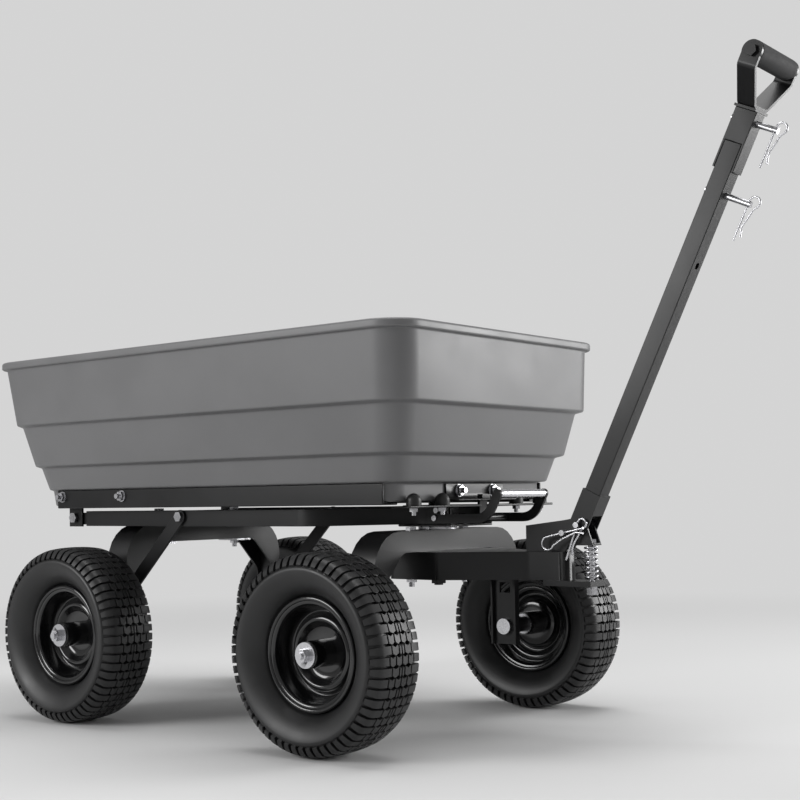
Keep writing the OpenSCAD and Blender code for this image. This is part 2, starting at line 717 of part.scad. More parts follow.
// Latch: a sprung handle on the neck whose hook holds the tub's striker
rivet_d = 5;
rivet_head = [10, 3];
latch_head = [latch_pivot_d + 2, 3];
rivet_z = rail_top - 5.5;
latch_plate = 46;
module latch_brackets() {
    color("dimgray") on_cart() both_sides() {
        difference() {
            translate([latch_px - latch_plate / 2, -neck_half - bracket_t, rail_z])
                cube([latch_plate, bracket_t, rail_h]);
            along_y(latch_px, -neck_half - bracket_t - 1, latch_pz)
                cylinder(d = latch_pivot_d + 2 * fit, h = bracket_t + 2);
            along_y(latch_px, -neck_half - bracket_t - 1, rivet_z)
                cylinder(d = rivet_d + 2 * fit, h = bracket_t + 2);
        }
    }
}
module latch_pivot() {
    y = arm_y + latch_arm_t + gap;
    color("silver") on_cart() {
        along_y(latch_px, -y, latch_pz) cylinder(d = latch_pivot_d, h = 2 * y);
        both_sides() {
            along_y(latch_px, -y - latch_head[1], latch_pz) cylinder(d = latch_head[0], h = latch_head[1]);
            along_y(latch_px, -neck_half - bracket_t - rivet_head[1], rivet_z)
                cylinder(d = rivet_head[0], h = rivet_head[1]);
            along_y(latch_px, -neck_half - bracket_t - 1, rivet_z)
                cylinder(d = rivet_d, h = bracket_t + rail_t + 1);
        }
    }
}
arm_drop = 1;
arm_r = 36;                            // bend where the arms turn up
arm_bend = 22;                         // from that bend to the bar
bar = [latch_px + latch_reach, latch_pz + latch_rise];
arm_line = rounded(
    [[latch_px, latch_pz - arm_drop], [bar[0] - arm_bend, latch_pz - arm_drop], bar], arm_r);
module latch_handle() {
    color("dimgray") on_cart() {
        both_sides() difference() {
            side_plate(-arm_y - latch_arm_t, latch_arm_t) {
                polygon(strip(arm_line, -latch_arm_h / 2, latch_arm_h / 2));
                translate([latch_px, latch_pz]) circle(r = latch_arm_h / 2);
                translate(bar) circle(r = latch_bar_d / 2 + 1);
            }
            along_y(latch_px, -arm_y - latch_arm_t - 1, latch_pz)
                cylinder(d = latch_pivot_d + 2 * run, h = latch_arm_t + 2);
        }
        along_y(bar[0], -arm_y, bar[1]) cylinder(d = latch_bar_d, h = 2 * arm_y);
    }
}
hook_t = 5;
tie_d = 12;
hook_lip = 6;
module latch_hook() {
    tie = [hook_x + hook_t / 2, latch_pz - arm_drop];
    hook_z = bed_z + ledge_t + 0.5;
    top = hook_z + 7.5;
    color("dimgray") on_cart() {
        along_y(tie[0], -arm_y, tie[1]) cylinder(d = tie_d, h = 2 * arm_y);
        translate([hook_x, -hook_half, tie[1]]) cube([hook_t, 2 * hook_half, top - tie[1]]);
        translate([hook_x, -hook_half, hook_z]) cube([hook_t + hook_lip, 2 * hook_half, top - hook_z]);
    }
}

// Springs: one unbroken wire, straight for one wire diameter at each end
curl_steps = 8;
function coil(r, h, turns, wire) = concat(
    [[r, 0, 0]],
    [for (i = [0 : turns * curl_steps])
        let (a = 360 * i / curl_steps)
        [r * cos(a), r * sin(a), wire + (h - 2 * wire) * i / (turns * curl_steps)]],
    [[r * cos(360 * turns), r * sin(360 * turns), h]]);
function coil_sides(p) = [for (q = p) [q[0], q[1], 0]];
function least_gap(p, wire) = min([
    for (i = [0 : len(p) - 1]) for (j = [i + curl_steps / 2 : 1 : len(p) - 1]) norm(p[j] - p[i])]) - wire;
spring_z = [yoke_bottom, seat_z];
cushion = coil((spring_d - spring_wire) / 2, spring_z[1] - spring_z[0] - 2 * gap, spring_turns, spring_wire);
echo(cushion_spring_gap = least_gap(cushion, spring_wire));
module cushion_spring() {
    color("silver") on_cart() translate([spring_x, 0, spring_z[0] + gap])
        tube(cushion, coil_sides(cushion), spring_wire, 6);
}
latch_wire = 2;
latch_turns = 6;
latch_coil_l = 30;
latch_coil = coil(latch_pivot_d / 2 + latch_wire / 2 + 1, latch_coil_l, latch_turns, latch_wire);
echo(latch_spring_gap = least_gap(latch_coil, latch_wire));
module latch_spring() {
    color("silver") on_cart() along_y(latch_px, -latch_coil_l / 2, latch_pz)
        tube(latch_coil, coil_sides(latch_coil), latch_wire, 6);
}

// Steering
yoke_back = front_x - 38;
yoke_bolt_y = yoke_half - 20;
tab_half = 25;
tab_x = [nose_x - 42, spring_x + spring_d / 2];
yoke_r = 14;
yoke_taper = [front_x + arch_w / 2 + 42, nose_x - 73];
yoke_half_line = rounded([
    [yoke_back, 0], [yoke_back, -yoke_half], [yoke_taper[0], -yoke_half], [yoke_taper[1], -nose_half],
    [nose_x, -nose_half], [nose_x, 0]], yoke_r);
yoke_line = concat(yoke_half_line, backwards(flip_y(yoke_half_line)));
inner_half_line = beside(yoke_half_line, yoke_t);
yoke_inner = concat(inner_half_line, backwards(flip_y(inner_half_line)));
module steering_yoke() {
    color("dimgray") on_cart() difference() {
        union() {
            difference() {
                translate([0, 0, yoke_bottom]) linear_extrude(yoke_h) polygon(yoke_line);
                translate([0, 0, yoke_bottom + yoke_t])
                    linear_extrude(yoke_h - 2 * yoke_t) polygon(yoke_inner);
            }
            translate([tab_x[0], -tab_half, yoke_bottom - tab_t])
                cube([tab_x[1] - tab_x[0], 2 * tab_half, tab_t]);
        }
        translate([front_x, 0, yoke_bottom - 1]) cylinder(d = king_d + 2 * run, h = yoke_h + 2);
        both_sides() translate([front_x, -yoke_bolt_y, yoke_bottom - 1])
            cylinder(d = bolt_d + 2 * fit, h = yoke_h + 2);
        translate([spring_x, 0, yoke_bottom - tab_t - 1]) cylinder(d = bolt_d + 2 * fit, h = tab_t + 2);
    }
}
cheek_r = 13;
bracket_back = nose_x - 81;
module tongue_bracket() {
    back = bracket_back;
    base_end = nose_x - 4;
    seat_start = nose_x + 2;
    seat_end = spring_x + spring_d / 2;
    inside = cheek - bracket_plate;
    outline = concat(
        [[base_end, yoke_top], [back, yoke_top], [back, pivot_z - 1], [pivot[0] - 30, pivot_z + 8]],
        [for (a = [90 : -15 : 0]) pivot + cheek_r * [cos(a), sin(a)]],
        [[seat_end, seat_z], [seat_start, seat_z]]);
    color("dimgray") on_cart() difference() {
        union() {
            both_sides() side_plate(-cheek, bracket_plate) polygon(outline);
            translate([back, -inside - 1, yoke_top]) cube([base_end - back, 2 * inside + 2, bracket_plate]);
            translate([seat_start, -inside - 1, seat_z])
                cube([seat_end - seat_start, 2 * inside + 2, bracket_plate]);
        }
        for (p = [pivot, stop_pin])
            along_y(p[0], -cheek - 1, p[1]) cylinder(d = pin_d + 2 * fit, h = 2 * cheek + 2);
        translate([spring_x, 0, seat_z - 1]) cylinder(d = bolt_d + 2 * fit, h = bracket_plate + 2);
    }
}
spring_head = 14;
module spring_bolt() {
    low = yoke_bottom - tab_t;
    color("silver") on_cart() translate([spring_x, 0, 0]) {
        translate([0, 0, low]) bolt(bolt_d, head_af, spring_head, seat_z + bracket_plate + head_h - low);
        translate([0, 0, seat_z + bracket_plate]) nut(bolt_d, head_af, head_h);
    }
}
module yoke_bolts() {
    color("silver") on_cart() both_sides() translate([front_x, -yoke_bolt_y, 0]) {
        translate([0, 0, front_arch_top]) rotate([180, 0, 0])
            bolt(bolt_d, head_af, head_h, front_arch_top - yoke_bottom + head_h + long_tail);
        translate([0, 0, yoke_bottom - head_h]) nut(bolt_d, head_af, head_h);
    }
}

// Pins and their spring clips
module clip_hole() { translate([0, 0, -pin_d]) cylinder(d = clip_wire + 0.4, h = 2 * pin_d); }
pin_head = [16, 4];
pivot_clip_y = max(sleeve_w, 2 * nose_half) / 2 + clip_wire / 2 + 2 * gap;
stop_clip_y = pivot_clip_y + clip_wire + 2;
pivot_clip_turn = 21;
stop_clip_turn = 258;
module tongue_pins() {
    far = sleeve_w / 2 + gap;
    color("silver") on_cart()
        for (p = [[pivot, pivot_clip_y, pivot_clip_turn], [stop_pin, stop_clip_y, stop_clip_turn]])
            difference() {
                union() {
                    along_y(p[0][0], -p[1] - pin_tip, p[0][1])
                        cylinder(d = pin_d, h = p[1] + pin_tip + far + 1);
                    along_y(p[0][0], far, p[0][1]) cylinder(d = pin_head[0], h = pin_head[1]);
                }
                translate([p[0][0], -p[1], p[0][1]]) rotate([0, p[2], 0]) clip_hole();
            }
}
// A clip in the XZ plane: a straight leg down through the pin at the origin, a loop and a waved leg
function clip_path(r, up, crest, out, leg) = concat(
    [[0, 0, -leg], [0, 0, -leg / 2], [0, 0, up - r]],
    [for (a = [180 : -20 : -60]) [r + r * cos(a), 0, up + r * sin(a)]],
    [[out + 2, 0, crest + 11], [out + 1, 0, crest + 6], [out, 0, crest], [out - 2, 0, crest - 7],
     [clip_wire + 1.5, 0, crest - 14], [clip_wire + 1.2, 0, crest - 20], [clip_wire + 5, 0, crest - 32]]);
module clip(r, up, crest, out, leg) {
    p = clip_path(r, up, crest, out, leg);
    tube(p, [for (q = p) [0, 1, 0]], clip_wire, 8);
}
clip_clear = pin_d / 2 + clip_wire / 2 + gap + 1;
bracket_leg = [62, 40];
hitch_leg = 60;
hitch_crest = -19;
bracket_loop = [8, 11];                // loop radius of the pivot's and the stop pin's clip
bracket_up = [5.5, 33];                // where those loops start, from their pins
bracket_crest = [-18.5, -6];           // where their waved legs pass the pins
module bracket_clips() {
    color("silver") on_cart() {
        translate([pivot[0], -pivot_clip_y, pivot[1]]) rotate([0, pivot_clip_turn, 0])
            clip(bracket_loop[0], bracket_up[0], bracket_crest[0], clip_clear, bracket_leg[0]);
        translate([stop_pin[0], -stop_clip_y, stop_pin[1]]) rotate([0, stop_clip_turn, 0])
            mirror([1, 0, 0])
                clip(bracket_loop[1], bracket_up[1], bracket_crest[1], clip_clear, bracket_leg[1]);
    }
}

// Tongue, drawn upright from its pivot
module square_bar(w, s0, s1) { translate([-w / 2, -w / 2, s0]) cube([w, w, s1 - s0]); }
tube_low = 24;
hole_d = pin_d + 1;
module tongue_tube() {
    color("dimgray") on_cart() on_tongue() difference() {
        square_bar(tube_w, tube_low, tube_top);
        square_bar(tube_w - 2 * tube_wall, tube_low - 1, tube_top + 1);
        for (s = [pin_a - hole_pitch, pin_a - 2 * hole_pitch])
            translate([-tube_w, 0, s]) rotate([0, 90, 0]) cylinder(d = hole_d, h = 2 * tube_w);
    }
}
module tongue_foot() {
    inside = tube_w + 2 * fit;
    color("dimgray") on_cart() on_tongue() difference() {
        union() {
            square_bar(sleeve_w, 0, sleeve_l);
            along_y(0, -sleeve_w / 2, 0) cylinder(d = sleeve_w, h = sleeve_w);
        }
        square_bar(inside, tube_low - 1, sleeve_l + 1);
        translate([-sleeve_w, -inside / 2, -sleeve_w]) cube([2 * sleeve_w, inside, sleeve_w + tube_low]);
        along_y(0, -sleeve_w, 0) cylinder(d = pin_d + 2 * run, h = 2 * sleeve_w);
    }
}
plate_base = tube_top + 52;
module hitch_plates() {
    web = tube_top + gap;
    color("dimgray") on_cart() on_tongue() {
        for (m = [0, 1]) mirror([m, 0, 0]) difference() {
            translate([tube_w / 2, -tube_w / 2, plate_base - hitch_l]) cube([hitch_t, tube_w, hitch_l]);
            translate([tube_w / 2 - 1, 0, pin_a]) rotate([0, 90, 0])
                cylinder(d = hole_d, h = hitch_t + 2);
        }
        both_sides() translate([-tube_w / 2 - 1, -tube_w / 2, web])
            cube([tube_w + 2, tube_wall, plate_base - web]);
    }
}
hitch_pin_s = [pin_a, pin_a - hole_pitch];
hitch_pin_back = [tube_w / 2 + hitch_t, tube_w / 2];
module hitch_pins() {
    color("silver") on_cart() on_tongue() for (i = [0, 1]) {
        out = tube_w / 2 + pin_out[i];
        back = hitch_pin_back[i] + gap;
        difference() {
            translate([-back, 0, hitch_pin_s[i]]) rotate([0, 90, 0]) union() {
                translate([0, 0, -pin_head[1]]) cylinder(d = pin_head[0], h = pin_head[1]);
                translate([0, 0, -1]) cylinder(d = pin_d, h = out + back + 1);
            }
            translate([out - pin_tip, 0, hitch_pin_s[i]]) clip_hole();
        }
    }
}
module hitch_clips() {
    color("silver") on_cart() on_tongue() for (i = [0, 1])
        translate([tube_w / 2 + pin_out[i] - pin_tip, 0, hitch_pin_s[i]])
            clip(clip_r, clip_up, hitch_crest, pin_tip + clip_wire / 2 + gap + 2, hitch_leg);
}
base_t = 4;
base_half = 22;
strap_foot = 20;                       // half width of the strap's flat on its base
strap_bend = 22;                       // from the grip's middle to the arms' bend
arm_top = grip_w / 2 - strap_t / 2;
strap_line = rounded([
    [-arm_top, grip_s], [-arm_top, grip_s - strap_bend], [-strap_foot, plate_base + base_t + strap_t / 2],
    [strap_foot, plate_base + base_t + strap_t / 2], [arm_top, grip_s - strap_bend], [arm_top, grip_s]], 9);
module grip_frame() {
    color("dimgray") on_cart() on_tongue() difference() {
        union() {
            translate([-tube_w / 2 - hitch_t, -base_half, plate_base])
                cube([tube_w + 2 * hitch_t, 2 * base_half, base_t]);
            translate([-strap_w / 2, 0, 0]) rotate([90, 0, 90]) linear_extrude(strap_w)
                polygon(strip(strap_line, -strap_t / 2, strap_t / 2));
            both_sides() along_y(0, -grip_w / 2, grip_s) cylinder(d = strap_w + 2, h = strap_t);
        }
        along_y(0, -grip_w, grip_s) cylinder(d = bolt_d + 2 * fit, h = 2 * grip_w);
    }
}
module grip_bolt() {
    color("silver") on_cart() on_tongue() {
        along_y(0, -grip_w / 2, grip_s) bolt(bolt_d, head_af, head_h, grip_w + head_h + bolt_tail);
        along_y(0, grip_w / 2, grip_s) nut(bolt_d, head_af, head_h);
    }
}
module foam_grip() {
    half = grip_w / 2 - strap_t - gap;
    color("black") on_cart() on_tongue() along_y(0, -half, grip_s) ring(bolt_d + 2 * fit, foam_d, 2 * half);
}

// Wheels: pieces turned about the axle, with the outer face at the side that the sign gives
module at_wheel(x, side) {
    on_cart() translate([x, side * wheel_y, axle_z]) rotate([-90 * side, 0, 0]) children();
}
lip_r = 4;
bead = [rim_w / 2 - 2 * lip_r - 1, rim_flange_d / 2 - 11.6];
module tyre() {
    w = tyre_w / 2;
    r = tyre_d / 2;
    lip = rim_flange_d / 2 + 1.5;
    h = r - lip;                       // height of the side wall
    out = [
        [bead[0], bead[1]], [bead[0], lip - 1], [bead[0] + 3, lip + 1], [bead[0] + 9, lip + 4],
        [w - 19, lip + 0.13 * h], [w - 12, lip + 0.23 * h], [w - 6, lip + 0.36 * h],
        [w - 2, lip + 0.49 * h], [w, lip + 0.61 * h], [w - 1, lip + 0.71 * h],
        [w - 5, lip + 0.83 * h], [w - 10.6, r - 5], [w - 18, r - 2.5], [w * 0.4, r - 0.6]];
    in = [
        [bead[0] - 8, bead[1]], [bead[0] - 5, lip + 4], [w - 27, lip + 0.2 * h],
        [w - 18, lip + 0.32 * h], [w - 11, lip + 0.47 * h], [w - 10, lip + 0.61 * h],
        [w - 18, lip + 0.77 * h], [w * 0.4, r - 11]];
    half = concat(out, [[0, r]]);
    inner_half = concat(in, [[0, r - 10.5]]);
    line = concat(half, backwards(flip_x(out)));
    inner_line = concat(inner_half, backwards(flip_x(in)));
    rotate_extrude() polygon([for (q = concat(line, backwards(inner_line))) [q[1], q[0]]]);
}
module rim() {
    f = rim_flange_d / 2;
    w = rim_w / 2;
    half = [
        [w - lip_r, f - lip_r], [w - 5, f - 11.5], [w - 9, f - 13.5], [w - 16, f - 14.5], [w - 25, f - 17]];
    barrel = concat(half, backwards(flip_x(half)));
    hub_r = hub_d / 2;
    dish = rounded([
        [-8, f - 17.5], [-8.5, f - 26], [-4, f - 31], [3, f - 34.5], [5, f - 40], [-9, f - 50],
        [-11, f - 60], [-11, hub_r - 1]], 3, 3);
    rotate_extrude() polygon([for (q = strip(barrel, -rim_t / 2, rim_t / 2)) [q[1], q[0]]]);
    for (side = [-1, 1])
        rotate_extrude() translate([f - lip_r, side * (w - lip_r)]) circle(r = lip_r, $fn = 24);
    rotate_extrude() polygon([for (q = strip(dish, -rim_t / 2, rim_t / 2)) [q[1], q[0]]]);
    translate([0, 0, -hub_in]) ring(hub_d - 2 * hub_wall, hub_d, hub_in + hub_out);
}
hub_wall = 3;
bearing_w = 12;
module bearings() {
    for (z = [-hub_in, hub_out - bearing_w])
        translate([0, 0, z]) ring(axle_d + 2 * run, hub_d - 2 * hub_wall - 2 * fit, bearing_w);
}
module tyre_front_right() { color("black") at_wheel(front_x, -1) tyre(); }
module tyre_front_left() { color("black") at_wheel(front_x, 1) tyre(); }
module tyre_rear_right() { color("black") at_wheel(0, -1) tyre(); }
module tyre_rear_left() { color("black") at_wheel(0, 1) tyre(); }
module rim_front_right() { color("dimgray") at_wheel(front_x, -1) rim(); }
module rim_front_left() { color("dimgray") at_wheel(front_x, 1) rim(); }
module rim_rear_right() { color("dimgray") at_wheel(0, -1) rim(); }
module rim_rear_left() { color("dimgray") at_wheel(0, 1) rim(); }
module bearings_front_right() { color("silver") at_wheel(front_x, -1) bearings(); }
module bearings_front_left() { color("silver") at_wheel(front_x, 1) bearings(); }
module bearings_rear_right() { color("silver") at_wheel(0, -1) bearings(); }
module bearings_rear_left() { color("silver") at_wheel(0, 1) bearings(); }

tub();
bed_rail_right();
bed_rail_left();
hinge_brackets();
bed_bolts();
striker_plate();
chassis_rail_right();
chassis_rail_left();
front_plate();
neck_plate();
rear_cross_member();
tail_cross_member();
hinge_bolts();
rear_axle_arch();
rear_arch_bolts();
axle_braces();
brace_bolts();
rear_stub_axles();
rear_axle_nuts();
rear_spacers();
bump_stops();
bump_stop_studs();
king_pin();
thrust_washer();
latch_brackets();
latch_pivot();
latch_handle();
latch_hook();
latch_spring();
front_axle_arch();
steering_yoke();
tongue_bracket();
spring_bolt();
cushion_spring();
yoke_bolts();
front_stub_axles();
front_axle_nuts();
front_spacers();
tongue_pins();
bracket_clips();
tongue_tube();
tongue_foot();
hitch_plates();
hitch_pins();
hitch_clips();
grip_frame();
grip_bolt();
foam_grip();
tyre_front_right();
tyre_front_left();
tyre_rear_right();
tyre_rear_left();
rim_front_right();
rim_front_left();
rim_rear_right();
rim_rear_left();
bearings_front_right();
bearings_front_left();
bearings_rear_right();
bearings_rear_left();
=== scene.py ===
"""Looks of a tipping dump cart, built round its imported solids.

Sizes are millimetres in the classes and metres in Blender. The frame is the part's own: X points forward,
Y to the left and Z up, and the ground is at Z = 0.
"""

import json
import logging
import math
from collections.abc import Callable, Iterable, Sequence
from dataclasses import dataclass, field
from enum import Enum

import bmesh
import bpy
from mathutils import Matrix, Vector


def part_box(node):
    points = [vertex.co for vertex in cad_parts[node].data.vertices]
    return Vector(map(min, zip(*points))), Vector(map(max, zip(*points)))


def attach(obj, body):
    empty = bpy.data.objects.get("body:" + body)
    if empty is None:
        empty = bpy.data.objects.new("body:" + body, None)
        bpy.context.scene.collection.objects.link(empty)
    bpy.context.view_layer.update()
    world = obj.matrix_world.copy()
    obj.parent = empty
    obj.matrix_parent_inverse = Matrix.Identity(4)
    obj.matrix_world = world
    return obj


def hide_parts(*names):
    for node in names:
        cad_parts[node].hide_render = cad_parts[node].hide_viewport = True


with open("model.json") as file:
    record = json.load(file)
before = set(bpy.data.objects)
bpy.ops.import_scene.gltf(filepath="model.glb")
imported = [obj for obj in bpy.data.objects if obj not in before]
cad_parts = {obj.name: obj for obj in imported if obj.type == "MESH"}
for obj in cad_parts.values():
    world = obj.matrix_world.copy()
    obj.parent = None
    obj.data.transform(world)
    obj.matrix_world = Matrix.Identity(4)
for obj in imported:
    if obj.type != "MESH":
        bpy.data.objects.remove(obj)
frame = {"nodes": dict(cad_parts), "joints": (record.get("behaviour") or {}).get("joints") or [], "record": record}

LOG = logging.getLogger("dump_cart")
MM = 0.001
PHOTO_SIDE = 800
# Points closer than this are one point, in millimetres
MERGE_GAP = 0.02
# Faces that meet at less than this are one flat face, in degrees
FLAT_ANGLE = 0.5
# Most of a side that the rounding of one corner takes
CORNER_SHARE = 0.45
# The stretch of the mottle's noise that shows
MOTTLE_SPAN = (0.35, 0.65)
# Numbers of the Mix node's share, two colours and result, because its sockets' names repeat
MIX_SHARE, MIX_LOW, MIX_HIGH, MIX_RESULT = 0, 6, 7, 2

Point = tuple[float, float]
Path = list[Point]
Edge = bmesh.types.BMEdge


class Slot(Enum):
    """The record's material slots."""

    TUB = "tub_plastic"
    STEEL = "black_steel"
    ZINC = "zinc"
    TYRE = "tyre"
    RUBBER = "rubber"
    FOAM = "foam"


class Corner(Enum):
    """The cart's four wheels."""

    FRONT_RIGHT = "front_right"
    FRONT_LEFT = "front_left"
    REAR_RIGHT = "rear_right"
    REAR_LEFT = "rear_left"

    @property
    def side(self) -> int:
        """Which way the wheel's outer face looks along Y."""
        return 1 if self.value.endswith("left") else -1


# Nodes


def preset(node: bpy.types.Node, values: dict[str | int, object]) -> None:
    """Set inputs of a node, by their names or numbers."""
    for name, value in values.items():
        node.inputs[name].default_value = value


def join(source: bpy.types.Node, output: str | int, target: bpy.types.Node, name: str | int) -> None:
    """Link an output of one node to an input of another in the same tree."""
    source.id_data.links.new(source.outputs[output], target.inputs[name])


def start_group(
        name: str, kind: str, inputs: dict[str, str],
        outputs: dict[str, str]) -> tuple[bpy.types.NodeTree, bpy.types.Node, bpy.types.Node]:
    """Start a node group with named inputs and outputs.

    Args:
        name: Name of the group.
        kind: Kind of node tree.
        inputs: Kind of each input, by its name.
        outputs: Kind of each output, by its name.

    Returns:
        The group, its input node and its output node.
    """
    group = bpy.data.node_groups.new(name, kind)
    for way, sockets in (("INPUT", inputs), ("OUTPUT", outputs)):
        for label, socket in sockets.items():
            group.interface.new_socket(label, in_out=way, socket_type="NodeSocket" + socket)
    return group, group.nodes.new("NodeGroupInput"), group.nodes.new("NodeGroupOutput")


def grain_group() -> bpy.types.NodeTree:
    """Make the shader group that gives a surface its fine grain and its slow mottle.

    Returns:
        A group with inputs for the two scales and outputs Height and Mottle.
    """
    group, inputs, outputs = start_group(
        "fine grain and mottle", "ShaderNodeTree",
        {"Grain scale": "Float", "Mottle scale": "Float"}, {"Height": "Float", "Mottle": "Float"})
    place = group.nodes.new("ShaderNodeTexCoord")
    for source, target, detail in (("Grain scale", "Height", 3.0), ("Mottle scale", "Mottle", 5.0)):
        noise = group.nodes.new("ShaderNodeTexNoise")
        preset(noise, {"Detail": detail})
        join(place, "Object", noise, "Vector")
        join(inputs, source, noise, "Scale")
        join(noise, "Fac", outputs, target)
    return group


def tone_group() -> bpy.types.NodeTree:
    """Make the shader group that lets a tone and a roughness wander with the mottle.

    Returns:
        A group with inputs for the mottle and for the lowest and highest tone and roughness, and outputs
        Tone and Roughness.
    """
    group, inputs, outputs = start_group(
        "wandering tone", "ShaderNodeTree",
        {"Mottle": "Float", "Low tone": "Color", "High tone": "Color", "Low roughness": "Float",
         "High roughness": "Float"},
        {"Tone": "Color", "Roughness": "Float"})
    spread = group.nodes.new("ShaderNodeMapRange")
    preset(spread, {"From Min": MOTTLE_SPAN[0], "From Max": MOTTLE_SPAN[1]})
    join(inputs, "Mottle", spread, "Value")
    tone = group.nodes.new("ShaderNodeMix")
    tone.data_type = "RGBA"
    join(spread, "Result", tone, MIX_SHARE)
    join(inputs, "Low tone", tone, MIX_LOW)
    join(inputs, "High tone", tone, MIX_HIGH)
    join(tone, MIX_RESULT, outputs, "Tone")
    rough = group.nodes.new("ShaderNodeMapRange")
    join(spread, "Result", rough, "Value")
    join(inputs, "Low roughness", rough, "To Min")
    join(inputs, "High roughness", rough, "To Max")
    join(rough, "Result", outputs, "Roughness")
    return group


@dataclass(frozen=True)
class Finish:
    """One surface finish: a tone, its wander, a gloss and a grain.

    Attributes:
        name: Name of the material.
        tone: Linear grey or colour of the surface.
        wander: How far the tone strays to either side, as a share.
        roughness: Lowest and highest roughness.
        metallic: 1 for bare metal, 0 for everything else.
        grain_scale: Fineness of the bumps, per metre.
        grain_depth: Height of the bumps, in millimetres.
        mottle_scale: Fineness of the tone's wander, per metre.
        coat: Weight of a clear gloss on top.
        coat_roughness: Roughness of that gloss.
        specular: Strength of the plain reflection.
    """

    name: str
    tone: tuple[float, float, float]
    wander: float
    roughness: Point
    metallic: float = 0.0
    grain_scale: float = 900.0
    grain_depth: float = 0.02
    mottle_scale: float = 9.0
    coat: float = 0.0
    coat_roughness: float = 0.12
    specular: float = 0.5

    def build(self, grain: bpy.types.NodeTree, wander: bpy.types.NodeTree) -> bpy.types.Material:
        """Build the material.

        Args:
            grain: The shared group of grain and mottle.
            wander: The shared group of tone and roughness.

        Returns:
            The new material.
        """
        material = bpy.data.materials.new(self.name)
        material.use_nodes = True
        tree = material.node_tree
        shader = tree.nodes["Principled BSDF"]
        preset(shader, {
            "Metallic": self.metallic, "Coat Weight": self.coat, "Coat Roughness": self.coat_roughness,
            "Specular IOR Level": self.specular})
        texture = tree.nodes.new("ShaderNodeGroup")
        texture.node_tree = grain
        preset(texture, {"Grain scale": self.grain_scale, "Mottle scale": self.mottle_scale})
        colour = tree.nodes.new("ShaderNodeGroup")
        colour.node_tree = wander
        preset(colour, {
            "Low tone": (*(c * (1 - self.wander) for c in self.tone), 1.0),
            "High tone": (*(c * (1 + self.wander) for c in self.tone), 1.0),
            "Low roughness": self.roughness[0], "High roughness": self.roughness[1]})
        bump = tree.nodes.new("ShaderNodeBump")
        preset(bump, {"Strength": 1.0, "Distance": self.grain_depth * MM})
        join(texture, "Mottle", colour, "Mottle")
        join(texture, "Height", bump, "Height")
        join(colour, "Tone", shader, "Base Color")
        join(colour, "Roughness", shader, "Roughness")
        join(bump, "Normal", shader, "Normal")
        return material


MOULDED_PLASTIC = Finish(
    "moulded grey plastic", (0.15, 0.15, 0.153), 0.04, (0.4, 0.48), grain_scale=700.0, grain_depth=0.03)
POWDER_COAT = Finish(
    "black powder coat", (0.008, 0.008, 0.0085), 0.1, (0.34, 0.4),
    grain_depth=0.006, coat=0.06, specular=0.32)
GLOSS_BLACK = Finish(
    "gloss black rim paint", (0.005, 0.005, 0.0055), 0.08, (0.12, 0.17),
    grain_scale=240.0, grain_depth=0.008, coat=0.4)
ZINC_PLATE = Finish(
    "bright zinc plate", (0.58, 0.58, 0.6), 0.06, (0.2, 0.3), metallic=1.0,
    grain_scale=1500.0, grain_depth=0.004, mottle_scale=60.0)
TYRE_RUBBER = Finish(
    "tyre rubber", (0.011, 0.011, 0.0115), 0.12, (0.4, 0.48), grain_scale=1100.0, mottle_scale=25.0)
STOP_RUBBER = Finish("stop rubber", (0.012, 0.012, 0.012), 0.1, (0.4, 0.5), grain_scale=1200.0)
GRIP_FOAM = Finish(
    "grip foam", (0.014, 0.014, 0.0145), 0.15, (0.75, 0.85),
    grain_scale=1400.0, grain_depth=0.12, mottle_scale=120.0)

SLOT_FINISH = {
    Slot.TUB: MOULDED_PLASTIC,
    Slot.STEEL: POWDER_COAT,
    Slot.ZINC: ZINC_PLATE,
    Slot.TYRE: TYRE_RUBBER,
    Slot.RUBBER: STOP_RUBBER,
    Slot.FOAM: GRIP_FOAM}


# Outlines


def lerp(a: Sequence[float], b: Sequence[float], t: float) -> tuple[float, ...]:
    """Give the point a share t of the way from a to b."""
    return tuple(p + (q - p) * t for p, q in zip(a, b))


def softened(path: Sequence[Sequence[float]], radius: float, steps: int = 4) -> list[tuple[float, ...]]:
    """Round the inner corners of an open path of points of any dimension.

    Args:
        path: The corner points; the first two coordinates measure the distances.
        radius: How far from a corner its rounding starts.
        steps: Number of chords in a rounding.

    Returns:
        The rounded path.
    """
    result = [tuple(path[0])]
    for a, b, c in zip(path, path[1:], path[2:]):
        before = math.dist(a[:2], b[:2])
        after = math.dist(b[:2], c[:2])
        cut = min(radius, CORNER_SHARE * before, CORNER_SHARE * after)
        start = lerp(b, a, cut / before)
        end = lerp(b, c, cut / after)
        for i in range(steps + 1):
            t = i / steps
            result.append(lerp(lerp(start, b, t), lerp(b, end, t), t))
    result.append(tuple(path[-1]))
    return result


def strip(path: Sequence[Point], thickness: float) -> Path:
    """Thicken an open path into a closed outline.

    Args:
        path: The middle line.
        thickness: Width of the strip.

    Returns:
        The outline, along one side and back along the other.
    """
    sides: tuple[Path, Path] = ([], [])
    for i, (x, y) in enumerate(path):
        a = path[max(i - 1, 0)]
        b = path[min(i + 1, len(path) - 1)]
        length = math.dist(a, b)
        normal = (-(b[1] - a[1]) / length, (b[0] - a[0]) / length)
        for line, sign in zip(sides, (1, -1)):
            line.append((x + sign * normal[0] * thickness / 2, y + sign * normal[1] * thickness / 2))
    return sides[0] + sides[1][::-1]


def along(path: Sequence[Point], place: float) -> float:
    """Read the second coordinate of a path at a place on its first coordinate.

    Args:
        path: Points in the order of their first coordinate.
        place: Where to read. Past an end, the end's own value holds.

    Returns:
        The second coordinate there.
    """
    for a, b in zip(path, path[1:]):
        if a[0] <= place <= b[0]:
            return a[1] + (b[1] - a[1]) * (place - a[0]) / (b[0] - a[0])
    return path[-1][1] if place > path[-1][0] else path[0][1]


